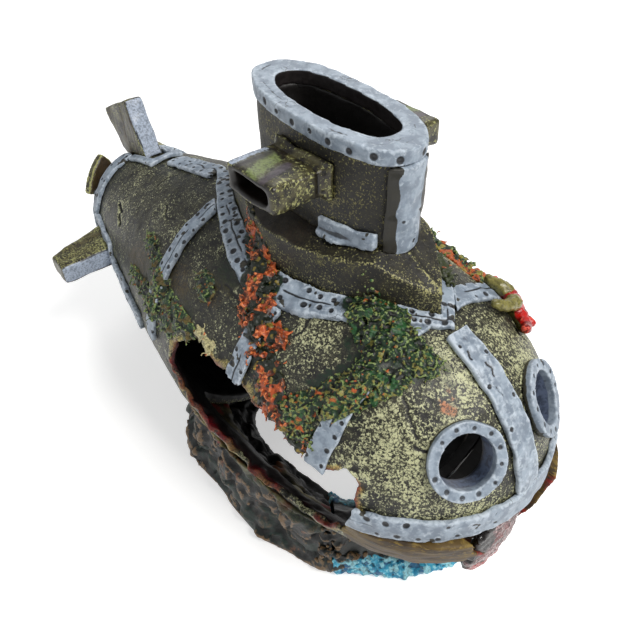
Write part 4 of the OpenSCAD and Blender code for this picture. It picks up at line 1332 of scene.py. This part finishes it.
def make_stage():
    g = Graph(bpy.data.materials.new("floor_paper"))
    shade = g.mix(g.noise(60.0, 2.0), (0.80, 0.80, 0.80, 1), (0.84, 0.84, 0.84, 1))
    paper = g.add("ShaderNodeBsdfDiffuse", {"Color": shade})
    straight = any_ray(g, ("Is Camera Ray", "Is Glossy Ray", "Is Transmission Ray"))
    strength = g.math("MULTIPLY", straight, 0.50)
    glow = g.add("ShaderNodeEmission", {"Color": (1, 1, 1, 1), "Strength": strength})
    both = g.add("ShaderNodeAddShader", {0: paper.outputs[0], 1: glow.outputs[0]})
    bm = bmesh.new()
    bmesh.ops.create_grid(bm, x_segments=8, y_segments=8, size=4.0)
    mesh = bpy.data.meshes.new("floor")
    bm.to_mesh(mesh)
    bm.free()
    floor = bpy.data.objects.new("floor", mesh)
    floor.location.z = -0.0002
    mesh.materials.append(g.surface(both))
    bpy.context.scene.collection.objects.link(floor)

    world = bpy.data.worlds.new("studio")
    bpy.context.scene.world = world
    g = Graph(world, "ShaderNodeOutputWorld")
    plain = g.add("ShaderNodeBackground", {0: (1, 1, 1, 1), 1: 0.32})
    white = g.add("ShaderNodeBackground", {0: (1, 1, 1, 1), 1: 1.0})
    straight = any_ray(g, ("Is Camera Ray", "Is Transmission Ray"))
    g.surface(g.add("ShaderNodeMixShader", {0: straight, 1: plain.outputs[0], 2: white.outputs[0]}))


def make_lamp(name, place, target, size, power, tone=(1, 1, 1)):
    data = bpy.data.lights.new(name, "AREA")
    data.shape = "DISK"
    data.size = size
    data.energy = power
    data.color = tone
    lamp = bpy.data.objects.new(name, data)
    lamp.location = place
    lamp.rotation_euler = (Vector(target) - Vector(place)).to_track_quat("-Z", "Y").to_euler()
    bpy.context.scene.collection.objects.link(lamp)


def make_lights():
    aim = (0, 0, 0.05)
    make_lamp("key", (0.62, 0.10, 0.78), aim, 0.34, 7.5, (1.0, 0.98, 0.95))
    make_lamp("fill", (-0.35, -0.75, 0.55), aim, 0.8, 1.4, (0.94, 0.97, 1.0))
    make_lamp("back", (-0.5, 0.6, 0.7), aim, 0.6, 2.6)


def make_camera():
    azimuth, elevation, roll = math.radians(49.48), math.radians(42.28), math.radians(-0.34)
    right = Vector((math.cos(azimuth), math.sin(azimuth), 0))
    back = Vector((math.sin(azimuth) * math.cos(elevation), -math.cos(azimuth) * math.cos(elevation),
                   math.sin(elevation)))
    up = back.cross(right)
    c, s = math.cos(roll), math.sin(roll)
    right, up = c * right + s * up, -s * right + c * up
    data = bpy.data.cameras.new("camera")
    data.sensor_width = 36
    data.lens = 36
    data.clip_start = 0.01
    camera = bpy.data.objects.new("camera", data)
    camera.matrix_world = Matrix((right, up, back)).transposed().to_4x4()
    camera.location = (0.10765, -0.0766, 0.1557)
    bpy.context.scene.collection.objects.link(camera)
    bpy.context.scene.camera = camera


make_camera()
make_stage()
make_lights()
make_hull()
make_belly()
make_deck()
make_tower()
make_rim()
make_hoop("hoop_fore", 47, 72, 41)
make_hoop("hoop_mid", 22.5, 66, 44)
make_hoop("hoop_aft", -12.5, 84, 47)
make_deck_strap()
make_top_straps()
make_waterline_straps()
make_small_straps()
make_portholes()
make_planes()
make_fins()
make_tail()
make_rock()
make_gravel()
make_rubble()
make_growth()
make_starfish()
make_notch_lining()

bpy.context.scene.view_settings.view_transform = "Standard"
bpy.context.view_layer.update()
